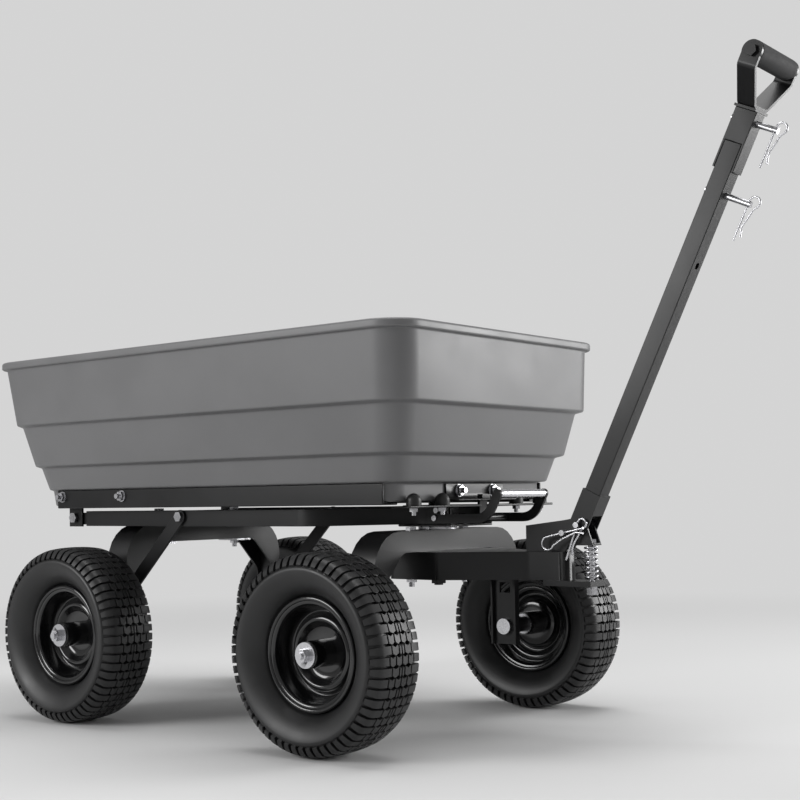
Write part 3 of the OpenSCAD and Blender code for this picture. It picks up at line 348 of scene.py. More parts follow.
# Meshes, objects and the frame


def added(name: str, data: bpy.types.ID) -> bpy.types.Object:
    """Make an object of some data and put it in the scene.

    Args:
        name: Name of the object.
        data: Its mesh, camera or light.

    Returns:
        The object.
    """
    item = bpy.data.objects.new(name, data)
    bpy.context.scene.collection.objects.link(item)
    return item


def finished_mesh(name: str, shape: bmesh.types.BMesh, sharp: float = 35.0) -> bpy.types.Mesh:
    """Turn a working shape into a mesh with smooth faces and sharp creases.

    Args:
        name: Name of the mesh.
        shape: The working shape, which is freed.
        sharp: Angle in degrees past which an edge stays sharp.

    Returns:
        The mesh.
    """
    mesh = bpy.data.meshes.new(name)
    shape.to_mesh(mesh)
    shape.free()
    mesh.polygons.foreach_set("use_smooth", [True] * len(mesh.polygons))
    mesh.set_sharp_from_angle(angle=math.radians(sharp))
    return mesh


def add_loft(shape: bmesh.types.BMesh, rings: Sequence[Sequence[Vector]], closed: bool) -> None:
    """Add a skin through rings of points.

    Args:
        shape: The working shape to add to.
        rings: Rings with the same number of points each.
        closed: Whether the last ring joins the first; otherwise both ends are capped.
    """
    rows = [[shape.verts.new(p) for p in ring] for ring in rings]
    count = len(rows[0])
    pairs = list(zip(rows, rows[1:] + rows[:1])) if closed else list(zip(rows, rows[1:]))
    faces = [
        shape.faces.new((a[j], a[(j + 1) % count], b[(j + 1) % count], b[j]))
        for a, b in pairs for j in range(count)]
    if not closed:
        faces.append(shape.faces.new(rows[0][::-1]))
        faces.append(shape.faces.new(rows[-1]))
    bmesh.ops.recalc_face_normals(shape, faces=faces)


def add_lathe(
        shape: bmesh.types.BMesh, outline: Sequence[Point], centre: Vector, axis: Vector,
        segments: int) -> None:
    """Add a closed outline turned about an axis.

    Args:
        shape: The working shape to add to.
        outline: Points of distance along the axis and radius, in millimetres.
        centre: Place of the outline's zero on the axis, in metres.
        axis: Direction of the axis.
        segments: Number of steps round.
    """
    across = axis.orthogonal().normalized()
    other = axis.cross(across)
    rings = []
    for i in range(segments):
        turn = 2 * math.pi * i / segments
        out = across * math.cos(turn) + other * math.sin(turn)
        rings.append([centre + axis * (a * MM) + out * (r * MM) for a, r in outline])
    add_loft(shape, rings, closed=True)


def copied_node(name: str) -> bmesh.types.BMesh:
    """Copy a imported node's triangles into a merged working shape with flat faces joined.

    Args:
        name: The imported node.

    Returns:
        The working shape.
    """
    shape = bmesh.new()
    shape.from_mesh(frame["nodes"][name].data)
    bmesh.ops.remove_doubles(shape, verts=shape.verts, dist=MERGE_GAP * MM)
    bmesh.ops.dissolve_limit(
        shape, angle_limit=math.radians(FLAT_ANGLE), verts=shape.verts, edges=shape.edges)
    return shape


def applied(
        mesh: bpy.types.Mesh, kind: str, set_up: Callable[[bpy.types.Modifier], None]) -> bpy.types.Mesh:
    """Run one modifier on a mesh.

    Args:
        mesh: The mesh, which is removed.
        kind: Kind of modifier.
        set_up: Gives the modifier its settings.

    Returns:
        A plain mesh of the result, under the same name.
    """
    name = mesh.name
    holder = added(name, mesh)
    set_up(holder.modifiers.new(name, kind))
    graph = bpy.context.evaluated_depsgraph_get()
    result = bpy.data.meshes.new_from_object(holder.evaluated_get(graph))
    holder.modifiers.clear()
    bpy.data.objects.remove(holder)
    bpy.data.meshes.remove(mesh)
    result.name = name
    return result


def grown(mesh: bpy.types.Mesh, tree: bpy.types.NodeTree, values: dict[str, object]) -> bpy.types.Mesh:
    """Run a geometry node tree on a mesh.

    Args:
        mesh: The tree's input geometry, which is removed.
        tree: The tree.
        values: The tree's named inputs.

    Returns:
        A plain mesh of the result.
    """
    sockets = {s.name: s.identifier for s in tree.interface.items_tree if s.in_out == "INPUT"}

    def set_up(modifier: bpy.types.Modifier) -> None:
        """Give the modifier its tree and the tree's inputs.

        Args:
            modifier: The new modifier.
        """
        modifier.node_group = tree
        for label, value in values.items():
            modifier[sockets[label]] = value

    return applied(mesh, "NODES", set_up)


def levelled(mesh: bpy.types.Mesh) -> bpy.types.Mesh:
    """Give a mesh with rounded edges normals that keep its large flat faces flat.

    Args:
        mesh: The mesh, which is removed.

    Returns:
        The same shape with weighted normals.
    """
    def set_up(modifier: bpy.types.Modifier) -> None:
        """Keep the sharp edges sharp."""
        modifier.keep_sharp = True

    return applied(mesh, "WEIGHTED_NORMAL", set_up)


def joint_place(name: str) -> Vector:
    """Find where a joint of the cart lies, in metres."""
    return Vector(next(joint["pos_m"] for joint in frame["joints"] if joint["name"] == name))


# Geometry node trees


def start_tree(name: str, inputs: dict[str, str]) -> bpy.types.NodeTree:
    """Start a geometry node tree with a finish and other named inputs.

    Args:
        name: Name of the tree.
        inputs: Kind of each input, by its name, apart from Geometry and Finish.

    Returns:
        The tree, with its input and output nodes.
    """
    tree, _, _ = start_group(
        name, "GeometryNodeTree", {"Geometry": "Geometry", **inputs, "Finish": "Material"},
        {"Geometry": "Geometry"})
    return tree


def end_tree(last: bpy.types.Node, output: str) -> None:
    """Close a tree with Realize Instances and Set Material.

    Args:
        last: The node that gives the finished geometry.
        output: Name of its output.
    """
    tree = last.id_data
    real = tree.nodes.new("GeometryNodeRealizeInstances")
    paint = tree.nodes.new("GeometryNodeSetMaterial")
    join(last, output, real, "Geometry")
    join(real, "Geometry", paint, "Geometry")
    join(tree.nodes["Group Input"], "Finish", paint, "Material")
    join(paint, "Geometry", tree.nodes["Group Output"], "Geometry")


def round_wheel_tree() -> bpy.types.NodeTree:
    """Make the tree that repeats one stretch of tread round a wheel's axle.

    Returns:
        A tree with inputs Count, Axle and Finish.
    """
    tree = start_tree("tread round wheel", {"Count": "Int", "Axle": "Vector"})
    inputs = tree.nodes["Group Input"]
    points = tree.nodes.new("GeometryNodePoints")
    join(inputs, "Count", points, "Count")
    join(inputs, "Axle", points, "Position")
    step = tree.nodes.new("ShaderNodeMath")
    step.operation = "DIVIDE"
    preset(step, {0: 2 * math.pi})
    join(inputs, "Count", step, 1)
    turn = tree.nodes.new("ShaderNodeMath")
    turn.operation = "MULTIPLY"
    index = tree.nodes.new("GeometryNodeInputIndex")
    join(index, "Index", turn, 0)
    join(step, "Value", turn, 1)
    angles = tree.nodes.new("ShaderNodeCombineXYZ")
    join(turn, "Value", angles, "Y")
    rotation = tree.nodes.new("FunctionNodeEulerToRotation")
    join(angles, "Vector", rotation, "Euler")
    repeat = tree.nodes.new("GeometryNodeInstanceOnPoints")
    join(points, "Points", repeat, "Points")
    join(inputs, "Geometry", repeat, "Instance")
    join(rotation, "Rotation", repeat, "Rotation")
    end_tree(repeat, "Instances")
    return tree


def wire_tree() -> bpy.types.NodeTree:
    """Make the tree that draws a round wire along a path of edges.

    Returns:
        A tree with inputs Wire radius, Sides and Finish.
    """
    tree = start_tree("wire along path", {"Wire radius": "Float", "Sides": "Int"})
    inputs = tree.nodes["Group Input"]
    path = tree.nodes.new("GeometryNodeMeshToCurve")
    ring = tree.nodes.new("GeometryNodeCurvePrimitiveCircle")
    sweep = tree.nodes.new("GeometryNodeCurveToMesh")
    smooth = tree.nodes.new("GeometryNodeSetShadeSmooth")
    preset(sweep, {"Fill Caps": True})
    join(inputs, "Geometry", path, "Mesh")
    join(inputs, "Sides", ring, "Resolution")
    join(inputs, "Wire radius", ring, "Radius")
    join(path, "Curve", sweep, "Curve")
    join(ring, "Curve", sweep, "Profile Curve")
    join(sweep, "Mesh", smooth, "Geometry")
    end_tree(smooth, "Geometry")
    return tree


class Workshop:
    """Holds the materials and the node trees, and puts finished pieces on the cart's bodies."""

    wire_sides: int = 12

    def __init__(self) -> None:
        """Build the shared groups, the materials and the trees."""
        grain = grain_group()
        wander = tone_group()
        self.finishes = {slot: finish.build(grain, wander) for slot, finish in SLOT_FINISH.items()}
        self.rim_paint = GLOSS_BLACK.build(grain, wander)
        self.tread = round_wheel_tree()
        self.wire = wire_tree()
        record = frame["record"]
        bodies = record["behaviour"]["bodies"]
        self.body_of = {node: body for body, nodes in bodies.items() for node in nodes}
        self.slot_of = {part["node"]: Slot(part["material_slot"]) for part in record["subparts"]}
        self.replaced: set[str] = set()

    def place(
            self, name: str, mesh: bpy.types.Mesh, body: str, slot: Slot, stands_for: Sequence[str] = (),
            material: bpy.types.Material | None = None) -> bpy.types.Object:
        """Put a finished mesh on a body.

        Args:
            name: Name of the piece.
            mesh: Its mesh, in the cart's frame.
            body: The body that it moves with.
            slot: The record's material slot.
            stands_for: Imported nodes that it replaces.
            material: A material other than the slot's own.

        Returns:
            The piece.
        """
        piece = added(name, mesh)
        mesh.materials.clear()
        mesh.materials.append(material or self.finishes[slot])
        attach(piece, body)
        if stands_for:
            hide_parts(*stands_for)
            self.replaced.update(stands_for)
        LOG.info("%s rides on %s with %d faces", name, body, len(mesh.polygons))
        return piece

    def wire_along(self, name: str, path: Sequence[Vector], diameter: float) -> bpy.types.Mesh:
        """Draw a round wire along points.

        Args:
            name: Name of the mesh.
            path: The wire's middle line, in metres.
            diameter: The wire's diameter, in millimetres.

        Returns:
            The wire's mesh.
        """
        line = bpy.data.meshes.new(name)
        line.from_pydata(list(path), [(i, i + 1) for i in range(len(path) - 1)], [])
        return grown(line, self.wire, {
            "Wire radius": diameter / 2 * MM, "Sides": self.wire_sides,
            "Finish": self.finishes[Slot.ZINC]})

    def paint_rest(self) -> None:
        """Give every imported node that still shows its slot's material."""
        for name, node in frame["nodes"].items():
            if name in self.replaced:
                continue
            node.data.materials.clear()
            node.data.materials.append(self.finishes[self.slot_of[name]])


@dataclass
class Tub:
    """The moulded tub: a foot and three tiers with ledges between them, under a rolled rim."""

    wall: float = 5.0
    floor: float = 6.0
    corner: float = 60.0
    rim_height: float = 15.0
    rim_out: float = 8.0
    ledge: float = 13.0
    upper_ledge: float = 162.0
    middle_ledge: float = 79.0
    foot_height: float = 33.0
    foot_side: float = 79.0
    foot_front: float = 84.0
    foot_back_step: float = 1.0
    draft: tuple[float, float, float] = (4.0, 17.0, 13.0)
    back_slope: float = 0.24
    back_ledge: float = 5.0
    ledge_drop: float = 2.0
    rim_edge: float = 4.0
    rim_bevel: float = 2.0
    rim_round: float = 1.2
    rim_inner_edge: float = 3.0
    edge: float = 3.0
    floor_edge: float = 30.0
    inner_lift: float = 4.0
    corner_less: tuple[float, ...] = (48.0, 18.0, 18.0, 14.0, 12.0, 10.0, 8.0, 4.0, 2.0)
    least_corner: float = 8.0
    corner_steps: int = 14

    def __post_init__(self) -> None:
        """Take the tub's outer box from the frame."""
        low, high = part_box("tub")
        self.back = low.x / MM
        self.front = high.x / MM
        self.half = high.y / MM
        self.base = low.z / MM
        self.height = (high.z - low.z) / MM

    def side_insets(self) -> list[float]:
        """List the wall's inset from the rim at each ledge, from the top down.

        Returns:
            The insets at the top and the bottom of each tier.
        """
        insets = [self.rim_out]
        for drop in (self.draft[0], self.ledge, self.draft[1], self.ledge, self.draft[2]):
            insets.append(insets[-1] + drop)
        return insets

    def back_inset(self, rise: float, ledges: int) -> float:
        """Give the rear wall's inset from the rim at a height above the foot."""
        drop = self.height - self.rim_height - rise
        return self.rim_out + drop * self.back_slope + ledges * self.back_ledge

    def skin(self, inside: float) -> list[tuple[float, ...]]:
        """List the rings of one face of the wall, from the bottom up.

        Args:
            inside: Distance of that face from the wall's outer face.

        Returns:
            Height, side inset, front inset, back inset and corner radius of each ring.
        """
        lift = self.inner_lift if inside else 0.0
        bottom = self.floor if inside else 0.0
        inset = self.side_insets()
        foot, middle, upper = self.foot_height, self.middle_ledge, self.upper_ledge
        side, front = self.foot_side, self.foot_front
        drop, edge = self.ledge_drop, self.floor_edge
        rings = [
            (bottom, side + edge, front + edge, self.back_inset(0, 2) + edge),
            (bottom, side, front, self.back_inset(0, 2)),
            (foot - drop + lift, side, front, self.back_inset(foot, 2)),
            (foot + lift, inset[5], inset[5], self.back_inset(foot, 2) - self.foot_back_step),
            (middle - drop + lift, inset[4], inset[4], self.back_inset(middle, 2)),
            (middle + drop + lift, inset[3], inset[3], self.back_inset(middle, 1)),
            (upper - drop + lift, inset[2], inset[2], self.back_inset(upper, 1)),
            (upper + drop + lift, inset[1], inset[1], self.back_inset(upper, 0)),
            (self.height - self.rim_height, inset[0], inset[0], self.rim_out)]
        return [
            (z, *(gap + inside for gap in gaps), max(self.corner - inside - less, self.least_corner))
            for (z, *gaps), less in zip(rings, self.corner_less)]

    def rim(self) -> list[tuple[float, ...]]:
        """List the rings over the rolled rim, from its underside to the inner wall.

        Returns:
            The same five values of each ring as skin gives.
        """
        top = self.height
        low = top - self.rim_height
        inner = self.rim_out + self.wall
        edge, bevel, turn = self.rim_edge, self.rim_bevel, self.rim_round
        rings = [
            (low, bevel, 0), (low + bevel, 0, 0), (top - edge, 0, 0), (top - turn, turn, 0),
            (top, edge, 0), (top, inner - self.rim_inner_edge, self.wall),
            (top - edge, inner, self.wall + bevel)]
        return [(z, inset, inset, inset, self.corner - less) for z, inset, less in rings]

    def ring(self, z: float, side: float, front: float, back: float, radius: float) -> list[Vector]:
        """Draw one rounded rectangle round the tub, in metres.

        Args:
            z: Height above the tub's base.
            side: Inset of both sides.
            front: Inset of the front.
            back: Inset of the back.
            radius: Radius of the corners.

        Returns:
            The ring's points.
        """
        ahead = self.front - front
        behind = self.back + back
        half = self.half - side
        middles = (
            (ahead - radius, half - radius), (behind + radius, half - radius),
            (behind + radius, radius - half), (ahead - radius, radius - half))
        points = []
        for quarter, (x, y) in enumerate(middles):
            for i in range(self.corner_steps + 1):
                turn = math.pi / 2 * (quarter + i / self.corner_steps)
                point = (x + radius * math.cos(turn), y + radius * math.sin(turn), self.base + z)
                points.append(Vector([v * MM for v in point]))
        return points

    def build(self, shop: Workshop) -> None:
        """Make the tub and put it on the bed.

        Args:
            shop: The workshop.
        """
        outer = self.skin(0.0)
        inner = self.skin(self.wall)
        path = softened(outer + self.rim() + inner[::-1], self.edge)
        shape = bmesh.new()
        add_loft(shape, [self.ring(*ring) for ring in path], closed=False)
        shop.place("tub_shell", finished_mesh("tub_shell", shape), "bed", Slot.TUB, ["tub"])


@dataclass
class Wheel:
    """One wheel: a tyre with turf tread on a pressed rim."""

    corner: Corner
    tyre_radius: float = 165.0
    tyre_half: float = 59.0
    casing_bend: float = 14.0
    flange_radius: float = 94.0
    rim_half: float = 33.0
    sheet: float = 3.0
    lip: float = 4.0
    hub_radius: float = 22.5
    hub_wall: float = 3.0
    hub_out: float = 40.0
    hub_in: float = 46.0
    sheet_bend: float = 7.0
    rows: int = 60
    groove: float = 7.0
    block_gap: float = 3.7
    block_edge: float = 0.5
    block_root: float = 1.5
    even_blocks: tuple[Point, ...] = ((-22.5, 12.4), (-7.5, 12.4), (7.5, 12.4), (22.5, 12.4))
    odd_blocks: tuple[Point, ...] = ((-15.5, 15.0), (-3.3, 4.4), (3.3, 4.4), (15.5, 15.0))
    chevron: float = 3.4
    lug_gap: float = 6.2
    lug_starts: Point = (31.5, 25.5)
    lug_root: float = 2.0
    lug_lean: float = 1.7
    lug_inset: float = 3.0
    lug_flare: float = 1.06
    segments: int = 120
    lip_steps: int = 16

    def __post_init__(self) -> None:
        """Find the wheel's middle and body in the frame."""
        self.name = self.corner.value
        self.body = "wheel_" + self.name
        self.centre = joint_place("spin_" + self.name)
        self.axis = Vector((0, self.corner.side, 0))

    def crown(self) -> Path:
        """Give the tread's outer face: distance from the middle plane and radius.

        Returns:
            Points from the middle plane to one edge.
        """
        w, r = self.tyre_half, self.tyre_radius
        return [
            (0, r - 0.2), (0.4 * w, r - 0.8), (w - 18, r - 2.7), (w - 10.6, r - 5.2), (w - 5.2, r - 12.2),
            (w - 1.4, r - 19.5)]

    def carcass(self) -> Path:
        """Give the closed outline of the tyre's casing under the tread.

        Returns:
            Distances from the middle plane and radii.
        """
        w, r = self.tyre_half, self.tyre_radius
        lip = self.flange_radius + 1.5
        bead = self.rim_half - 2 * self.lip - 1
        foot = self.flange_radius - 11.6
        h = r - lip
        outer = [
            (bead, foot), (bead, lip - 1), (bead + 3, lip + 1), (bead + 9, lip + 4),
            (w - 19, lip + 0.13 * h), (w - 12, lip + 0.23 * h), (w - 6, lip + 0.36 * h),
            (w - 2, lip + 0.49 * h), (w - 0.3, lip + 0.6 * h), (w - 1.6, lip + 0.66 * h),
            (w - 7.5, lip + 0.72 * h), (w - 12.5, lip + 0.8 * h), (w - 17, r - 11), (w - 23, r - 9),
            (0.4 * w, r - 0.8 - self.groove), (0, r - self.groove)]
        inner = [
            (bead - 8, foot), (bead - 5, lip + 4), (w - 27, lip + 0.2 * h), (w - 18, lip + 0.32 * h),
            (w - 11, lip + 0.47 * h), (w - 10.5, lip + 0.56 * h), (w - 23, lip + 0.72 * h),
            (0.4 * w, r - 14), (0, r - 13.5)]
        face = softened(outer + [(-a, b) for a, b in outer[-2::-1]], self.casing_bend, 3)
        back = softened(inner + [(-a, b) for a, b in inner[-2::-1]], self.casing_bend, 2)
        return face + back[::-1]

    def on_crown(self, place: float, turn: float, sink: float = 0.0) -> Vector:
        """Give a point of the tread about the axle, in metres.

        Args:
            place: Distance from the wheel's middle plane, in millimetres.
            turn: Angle round the axle.
            sink: Depth below the tread's face, in millimetres.

        Returns:
            The point.
        """
        radius = (along(self.crown(), abs(place)) - sink) * MM
        return Vector((radius * math.cos(turn), place * MM, -radius * math.sin(turn)))

    def row_length(self, gap: float) -> float:
        """Give the length round the wheel of one row of tread, less a gap."""
        return 2 * math.pi * self.tyre_radius / self.rows - gap

    def block_outline(self, width: float, more: float) -> Path:
        """Draw a tread block with chevron ends, in the tread's face.

        Args:
            width: The block's width across the tread.
            more: How far the outline lies outside the block's own.

        Returns:
            Points across the tread and round the wheel, from the block's middle.
        """
        half = width / 2 + more
        reach = self.row_length(self.block_gap) / 2 + more
        return [
            (-half, -reach), (0, -reach + self.chevron), (half, -reach), (half, reach),
            (0, reach + self.chevron), (-half, reach)]

    def add_block(self, shape: bmesh.types.BMesh, place: float, width: float, turn: float) -> None:
        """Add one tread block.

        Args:
            shape: The working shape to add to.
            place: The block's middle across the tread.
            width: The block's width across the tread.
            turn: The block's middle round the axle.
        """
        edge = self.block_edge
        rings = [
            [self.on_crown(place + a, turn + s / self.tyre_radius, sink)
             for a, s in self.block_outline(width, more)]
            for more, sink in ((edge, self.groove + self.block_root), (0.0, edge), (-edge, 0.0))]
        add_loft(shape, rings, closed=False)

    def add_lug(self, shape: bmesh.types.BMesh, side: int, start: float, turn: float) -> None:
        """Add one shoulder lug that runs from the crown over the shoulder on to the side wall.

        Args:
            shape: The working shape to add to.
            side: Side of the tread.
            start: Where the lug starts, from the wheel's middle plane.
            turn: The lug's middle round the axle.
        """
        w = self.tyre_half
        length = self.row_length(self.lug_gap) / self.tyre_radius
        lean = self.lug_lean / self.tyre_radius
        deep = self.groove + self.lug_root
        rings = []
        for place, share, sink in (
                (start, 0.5, 0.0), (w - 18, 0.52, 0.0), (w - 10.6, 0.5, 0.2), (w - 5.2, 0.45, 0.2),
                (w - 1.8, 0.38, 0.4)):
            reach = length * share
            root = self.lug_flare * reach
            face = side * place
            foot = side * (place - self.lug_inset)
            rings.append([
                self.on_crown(face, turn - reach, sink),
                self.on_crown(face, turn + reach + lean, sink),
                self.on_crown(foot, turn + root, sink + deep),
                self.on_crown(foot, turn - root, sink + deep)])
        add_loft(shape, rings, closed=False)

    def build_tyre(self, shop: Workshop) -> None:
        """Make the casing and the tread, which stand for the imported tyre.

        Args:
            shop: The workshop.
        """
        node = "tyre_" + self.name
        shape = bmesh.new()
        add_lathe(shape, self.carcass(), self.centre, self.axis, self.segments)
        shop.place("casing_" + self.name, finished_mesh("casing", shape), self.body, Slot.TYRE, [node])
        stretch = bmesh.new()
        turns = (0.0, 2 * math.pi / self.rows)
        for blocks, turn in zip((self.even_blocks, self.odd_blocks), turns):
            for place, width in blocks:
                self.add_block(stretch, place, width, turn)
        for side in (-1, 1):
            for start, turn in zip(self.lug_starts, turns):
                self.add_lug(stretch, side, start, turn)
        tread = grown(finished_mesh("tread", stretch), shop.tread, {
            "Count": self.rows // 2, "Axle": self.centre, "Finish": shop.finishes[Slot.TYRE]})
        shop.place("tread_" + self.name, tread, self.body, Slot.TYRE, [node])

    def build_rim(self, shop: Workshop) -> None:
        """Make the pressed rim with its lips, dish and hub tube.

        Args:
            shop: The workshop.
        """
        f, w = self.flange_radius, self.rim_half
        lip, hub, bend = self.lip, self.hub_radius, self.sheet_bend
        half = [
            (w - lip, f - lip), (w - 5, f - 11.5), (w - 9, f - 13.5), (w - 16, f - 14.5),
            (w - 25, f - 16.5)]
        bowl = softened(half + [
            (-2, f - 19.5), (-8, f - 25), (-5, f - 31), (3, f - 34.5), (5, f - 40), (-9, f - 50),
            (-11, f - 60), (-11, hub - 1)], bend)
        barrel = softened([(-6, f - 22), (-9, f - 17)] + [(-a, b) for a, b in half[::-1]], bend)
        turns = [2 * math.pi * i / self.lip_steps for i in range(self.lip_steps)]
        outer_lip = [(w - lip + lip * math.cos(t), f - lip + lip * math.sin(t)) for t in turns]
        inner_lip = [(-a, b) for a, b in outer_lip]
        bore = hub - self.hub_wall
        tube = [
            (-self.hub_in, bore), (-self.hub_in, hub), (self.hub_out - 1, hub), (self.hub_out, hub - 1),
            (self.hub_out, bore)]
        shape = bmesh.new()
        for outline in (strip(bowl, self.sheet), strip(barrel, self.sheet), outer_lip, inner_lip, tube):
            add_lathe(shape, outline, self.centre, self.axis, self.segments)
        shop.place(
            "pressed_rim_" + self.name, finished_mesh("pressed_rim", shape), self.body, Slot.STEEL,
            ["rim_" + self.name], shop.rim_paint)

    def build(self, shop: Workshop) -> None:
        """Make the wheel's tyre and rim."""
        self.build_tyre(shop)
        self.build_rim(shop)


@dataclass
class SteelWork:
    """The black steel pieces, with their edges eased as bent and coated steel has them."""

    eased: dict[str, float] = field(default_factory=lambda: {
        "bed_rail_right": 1.5, "bed_rail_left": 1.5, "hinge_brackets": 1.2, "striker_plate": 1.2,
        "chassis_rail_right": 1.4, "chassis_rail_left": 1.4, "front_plate": 1.2, "neck_plate": 1.2,
        "rear_cross_member": 1.2, "tail_cross_member": 1.2, "axle_braces": 1.2, "latch_brackets": 1.2,
        "latch_handle": 1.2, "latch_hook": 1.0, "steering_yoke": 3.5, "tongue_bracket": 1.0,
        "tongue_tube": 2.2, "tongue_foot": 1.4, "hitch_plates": 1.0, "grip_frame": 1.0})
    edge_steps: int = 2
    arches: tuple[str, ...] = ("rear_axle_arch", "front_axle_arch")
    arch_edge: float = 9.0
    arch_steps: int = 4
    least_edge: float = 6.0
    crease: float = 28.0
    eased_crease: float = 50.0
    along_axis: float = 0.9
    across_axis: float = 0.1
    outward: float = 0.7

    def is_crease(self, edge: Edge) -> bool:
        """Tell whether an edge is a long outer corner of the steel."""
        return (
            len(edge.link_faces) == 2 and edge.calc_length() > self.least_edge * MM and edge.is_convex
            and edge.calc_face_angle() > math.radians(self.crease))

    def is_arch_shoulder(self, edge: Edge) -> bool:
        """Tell whether an edge joins an arch's outer band to its front or back flange.

        Args:
            edge: An edge of the arch.

        Returns:
            True where it does.
        """
        if len(edge.link_faces) != 2 or not edge.is_convex:
            return False
        flange = [f for f in edge.link_faces if abs(f.normal.x) > self.along_axis]
        band = [f for f in edge.link_faces if abs(f.normal.x) < self.across_axis]
        if not (flange and band):
            return False
        middle = (edge.verts[0].co + edge.verts[1].co) / 2
        out = Vector((0, math.copysign(1.0, middle.y), 0))
        normal = band[0].normal
        return normal.z > self.across_axis or normal.dot(out) > self.outward

    def ease(
            self, shop: Workshop, node: str, width: float, pick: Callable[[Edge], bool],
            segments: int) -> None:
        """Copy a node with its picked edges rounded.

        Args:
            shop: The workshop.
            node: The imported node.
            width: Width of the rounding, in millimetres.
            pick: Tells which edges are rounded.
            segments: Number of steps across a rounding.
        """
        shape = copied_node(node)
        edges = [e for e in shape.edges if pick(e)]
        bmesh.ops.bevel(
            shape, geom=edges, offset=width * MM, segments=segments, affect="EDGES", profile=0.5,
            clamp_overlap=True)
        mesh = levelled(finished_mesh(node + "_eased", shape, self.eased_crease))
        shop.place(node + "_eased", mesh, shop.body_of[node], shop.slot_of[node], [node])

    def build(self, shop: Workshop) -> None:
        """Ease the edges of the frame's pieces.

        Args:
            shop: The workshop.
        """
        for node, width in self.eased.items():
            self.ease(shop, node, width, self.is_crease, self.edge_steps)
        for node in self.arches:
            self.ease(shop, node, self.arch_edge, self.is_arch_shoulder, self.arch_steps)


@dataclass
class WireWork:
    """The two coil springs."""

    cushion_wire: float = 3.6
    cushion_turns: int = 7
    latch_wire: float = 2.0
    latch_turns: int = 6
    steps: int = 24
    closed_ends: float = 0.35

    def coil(self, node: str, axis: Vector, wire: float, turns: int) -> list[Vector]:
        """Wind a spring that fills a packed spring's box.

        Args:
            node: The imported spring.
            axis: The spring's axis.
            wire: Diameter of the wire.
            turns: Number of turns.

        Returns:
            The wire's middle line, in metres.
        """
        low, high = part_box(node)
        size = high - low
        length = abs(size.dot(axis))
        across = Vector((1, 0, 0))
        other = axis.cross(across)
        radius = size.x / 2 - wire * MM / 2
        foot = (low + high) / 2 - axis * (length / 2 - wire * MM / 2)
        travel = length - wire * MM
        path = []
        for i in range(turns * self.steps + 1):
            share = i / (turns * self.steps)
            slow = share * share * (3 - 2 * share)
            rise = travel * (slow * self.closed_ends + share * (1 - self.closed_ends))
            turn = 2 * math.pi * turns * share
            out = across * math.cos(turn) + other * math.sin(turn)
            path.append(foot + axis * rise + out * radius)
        return path

    def build(self, shop: Workshop) -> None:
        """Make both springs.

        Args:
            shop: The workshop.
        """
        for node, axis, wire, turns in (
                ("cushion_spring", Vector((0, 0, 1)), self.cushion_wire, self.cushion_turns),
                ("latch_spring", Vector((0, 1, 0)), self.latch_wire, self.latch_turns)):
            path = self.coil(node, axis, wire, turns)
            mesh = shop.wire_along(node + "_wire", path, wire)
            shop.place(node + "_wire", mesh, shop.body_of[node], Slot.ZINC, [node])


@dataclass
class Hardware:
    """The bolts, nuts, pins, clips and rubber stops, with their round faces smoothed."""

    nodes: tuple[str, ...] = (
        "bed_bolts", "hinge_bolts", "rear_arch_bolts", "brace_bolts", "rear_stub_axles", "rear_axle_nuts",
        "front_stub_axles", "front_axle_nuts", "rear_spacers", "front_spacers", "bump_stops",
        "bump_stop_studs", "king_pin", "thrust_washer", "latch_pivot", "yoke_bolts", "spring_bolt",
        "tongue_pins", "hitch_pins", "grip_bolt")
    clips: tuple[str, ...] = ("bracket_clips", "hitch_clips")
    crease: float = 32.0
    wire_crease: float = 60.0

    def build(self, shop: Workshop) -> None:
        """Copy each piece with smooth round faces.

        Args:
            shop: The workshop.
        """
        for node in self.nodes + self.clips:
            crease = self.wire_crease if node in self.clips else self.crease
            mesh = finished_mesh(node + "_smooth", copied_node(node), crease)
            shop.place(node + "_smooth", mesh, shop.body_of[node], shop.slot_of[node], [node])


@dataclass
class Grips:
    """The foam sleeve of the tongue's grip and the plated tube over the latch bar."""

    foam_end: float = 6.0
    foam_bore: float = 5.2
    foam_fill: float = 1.0
    foam_segments: int = 64
    bar_from_pivot: Point = (131.0, 41.0)
    bar_radius: float = 7.3
    bar_bore: float = 7.05
    bar_half: float = 69.6
    bar_segments: int = 48

    def build_foam(self, shop: Workshop) -> None:
        """Make the foam sleeve.

        Args:
            shop: The workshop.
        """
        low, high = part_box("foam_grip")
        middle = (low + high) / 2
        half = (high.y - low.y) / 2 / MM
        radius = (high.z - low.z) / 2 / MM
        end = self.foam_end
        outline = softened([
            (-half, self.foam_bore), (-half, radius - end / 2), (-half, radius), (-half + end, radius),
            (half - end, radius), (half, radius), (half, radius - end / 2), (half, self.foam_bore)], end)
        shape = bmesh.new()
        add_lathe(shape, outline, middle, Vector((0, 1, 0)), self.foam_segments)
        sleeve = shop.place(
            "foam_sleeve", finished_mesh("foam_sleeve", shape), "tongue", Slot.FOAM, ["foam_grip"])

    def build_bar(self, shop: Workshop) -> None:
        """Make the bright tube between the latch arms.

        Args:
            shop: The workshop.
        """
        ahead, above = self.bar_from_pivot
        centre = joint_place("latch_lift") + Vector((ahead, 0, above)) * MM
        half, bore, radius = self.bar_half, self.bar_bore, self.bar_radius
        outline = [(-half, bore), (-half, radius), (half, radius), (half, bore)]
        shape = bmesh.new()
        add_lathe(shape, outline, centre, Vector((0, 1, 0)), self.bar_segments)
        shop.place("latch_bar_tube", finished_mesh("latch_bar_tube", shape), "latch", Slot.ZINC)

    def build(self, shop: Workshop) -> None:
        """Make both grips."""
        self.build_foam(shop)
        self.build_bar(shop)


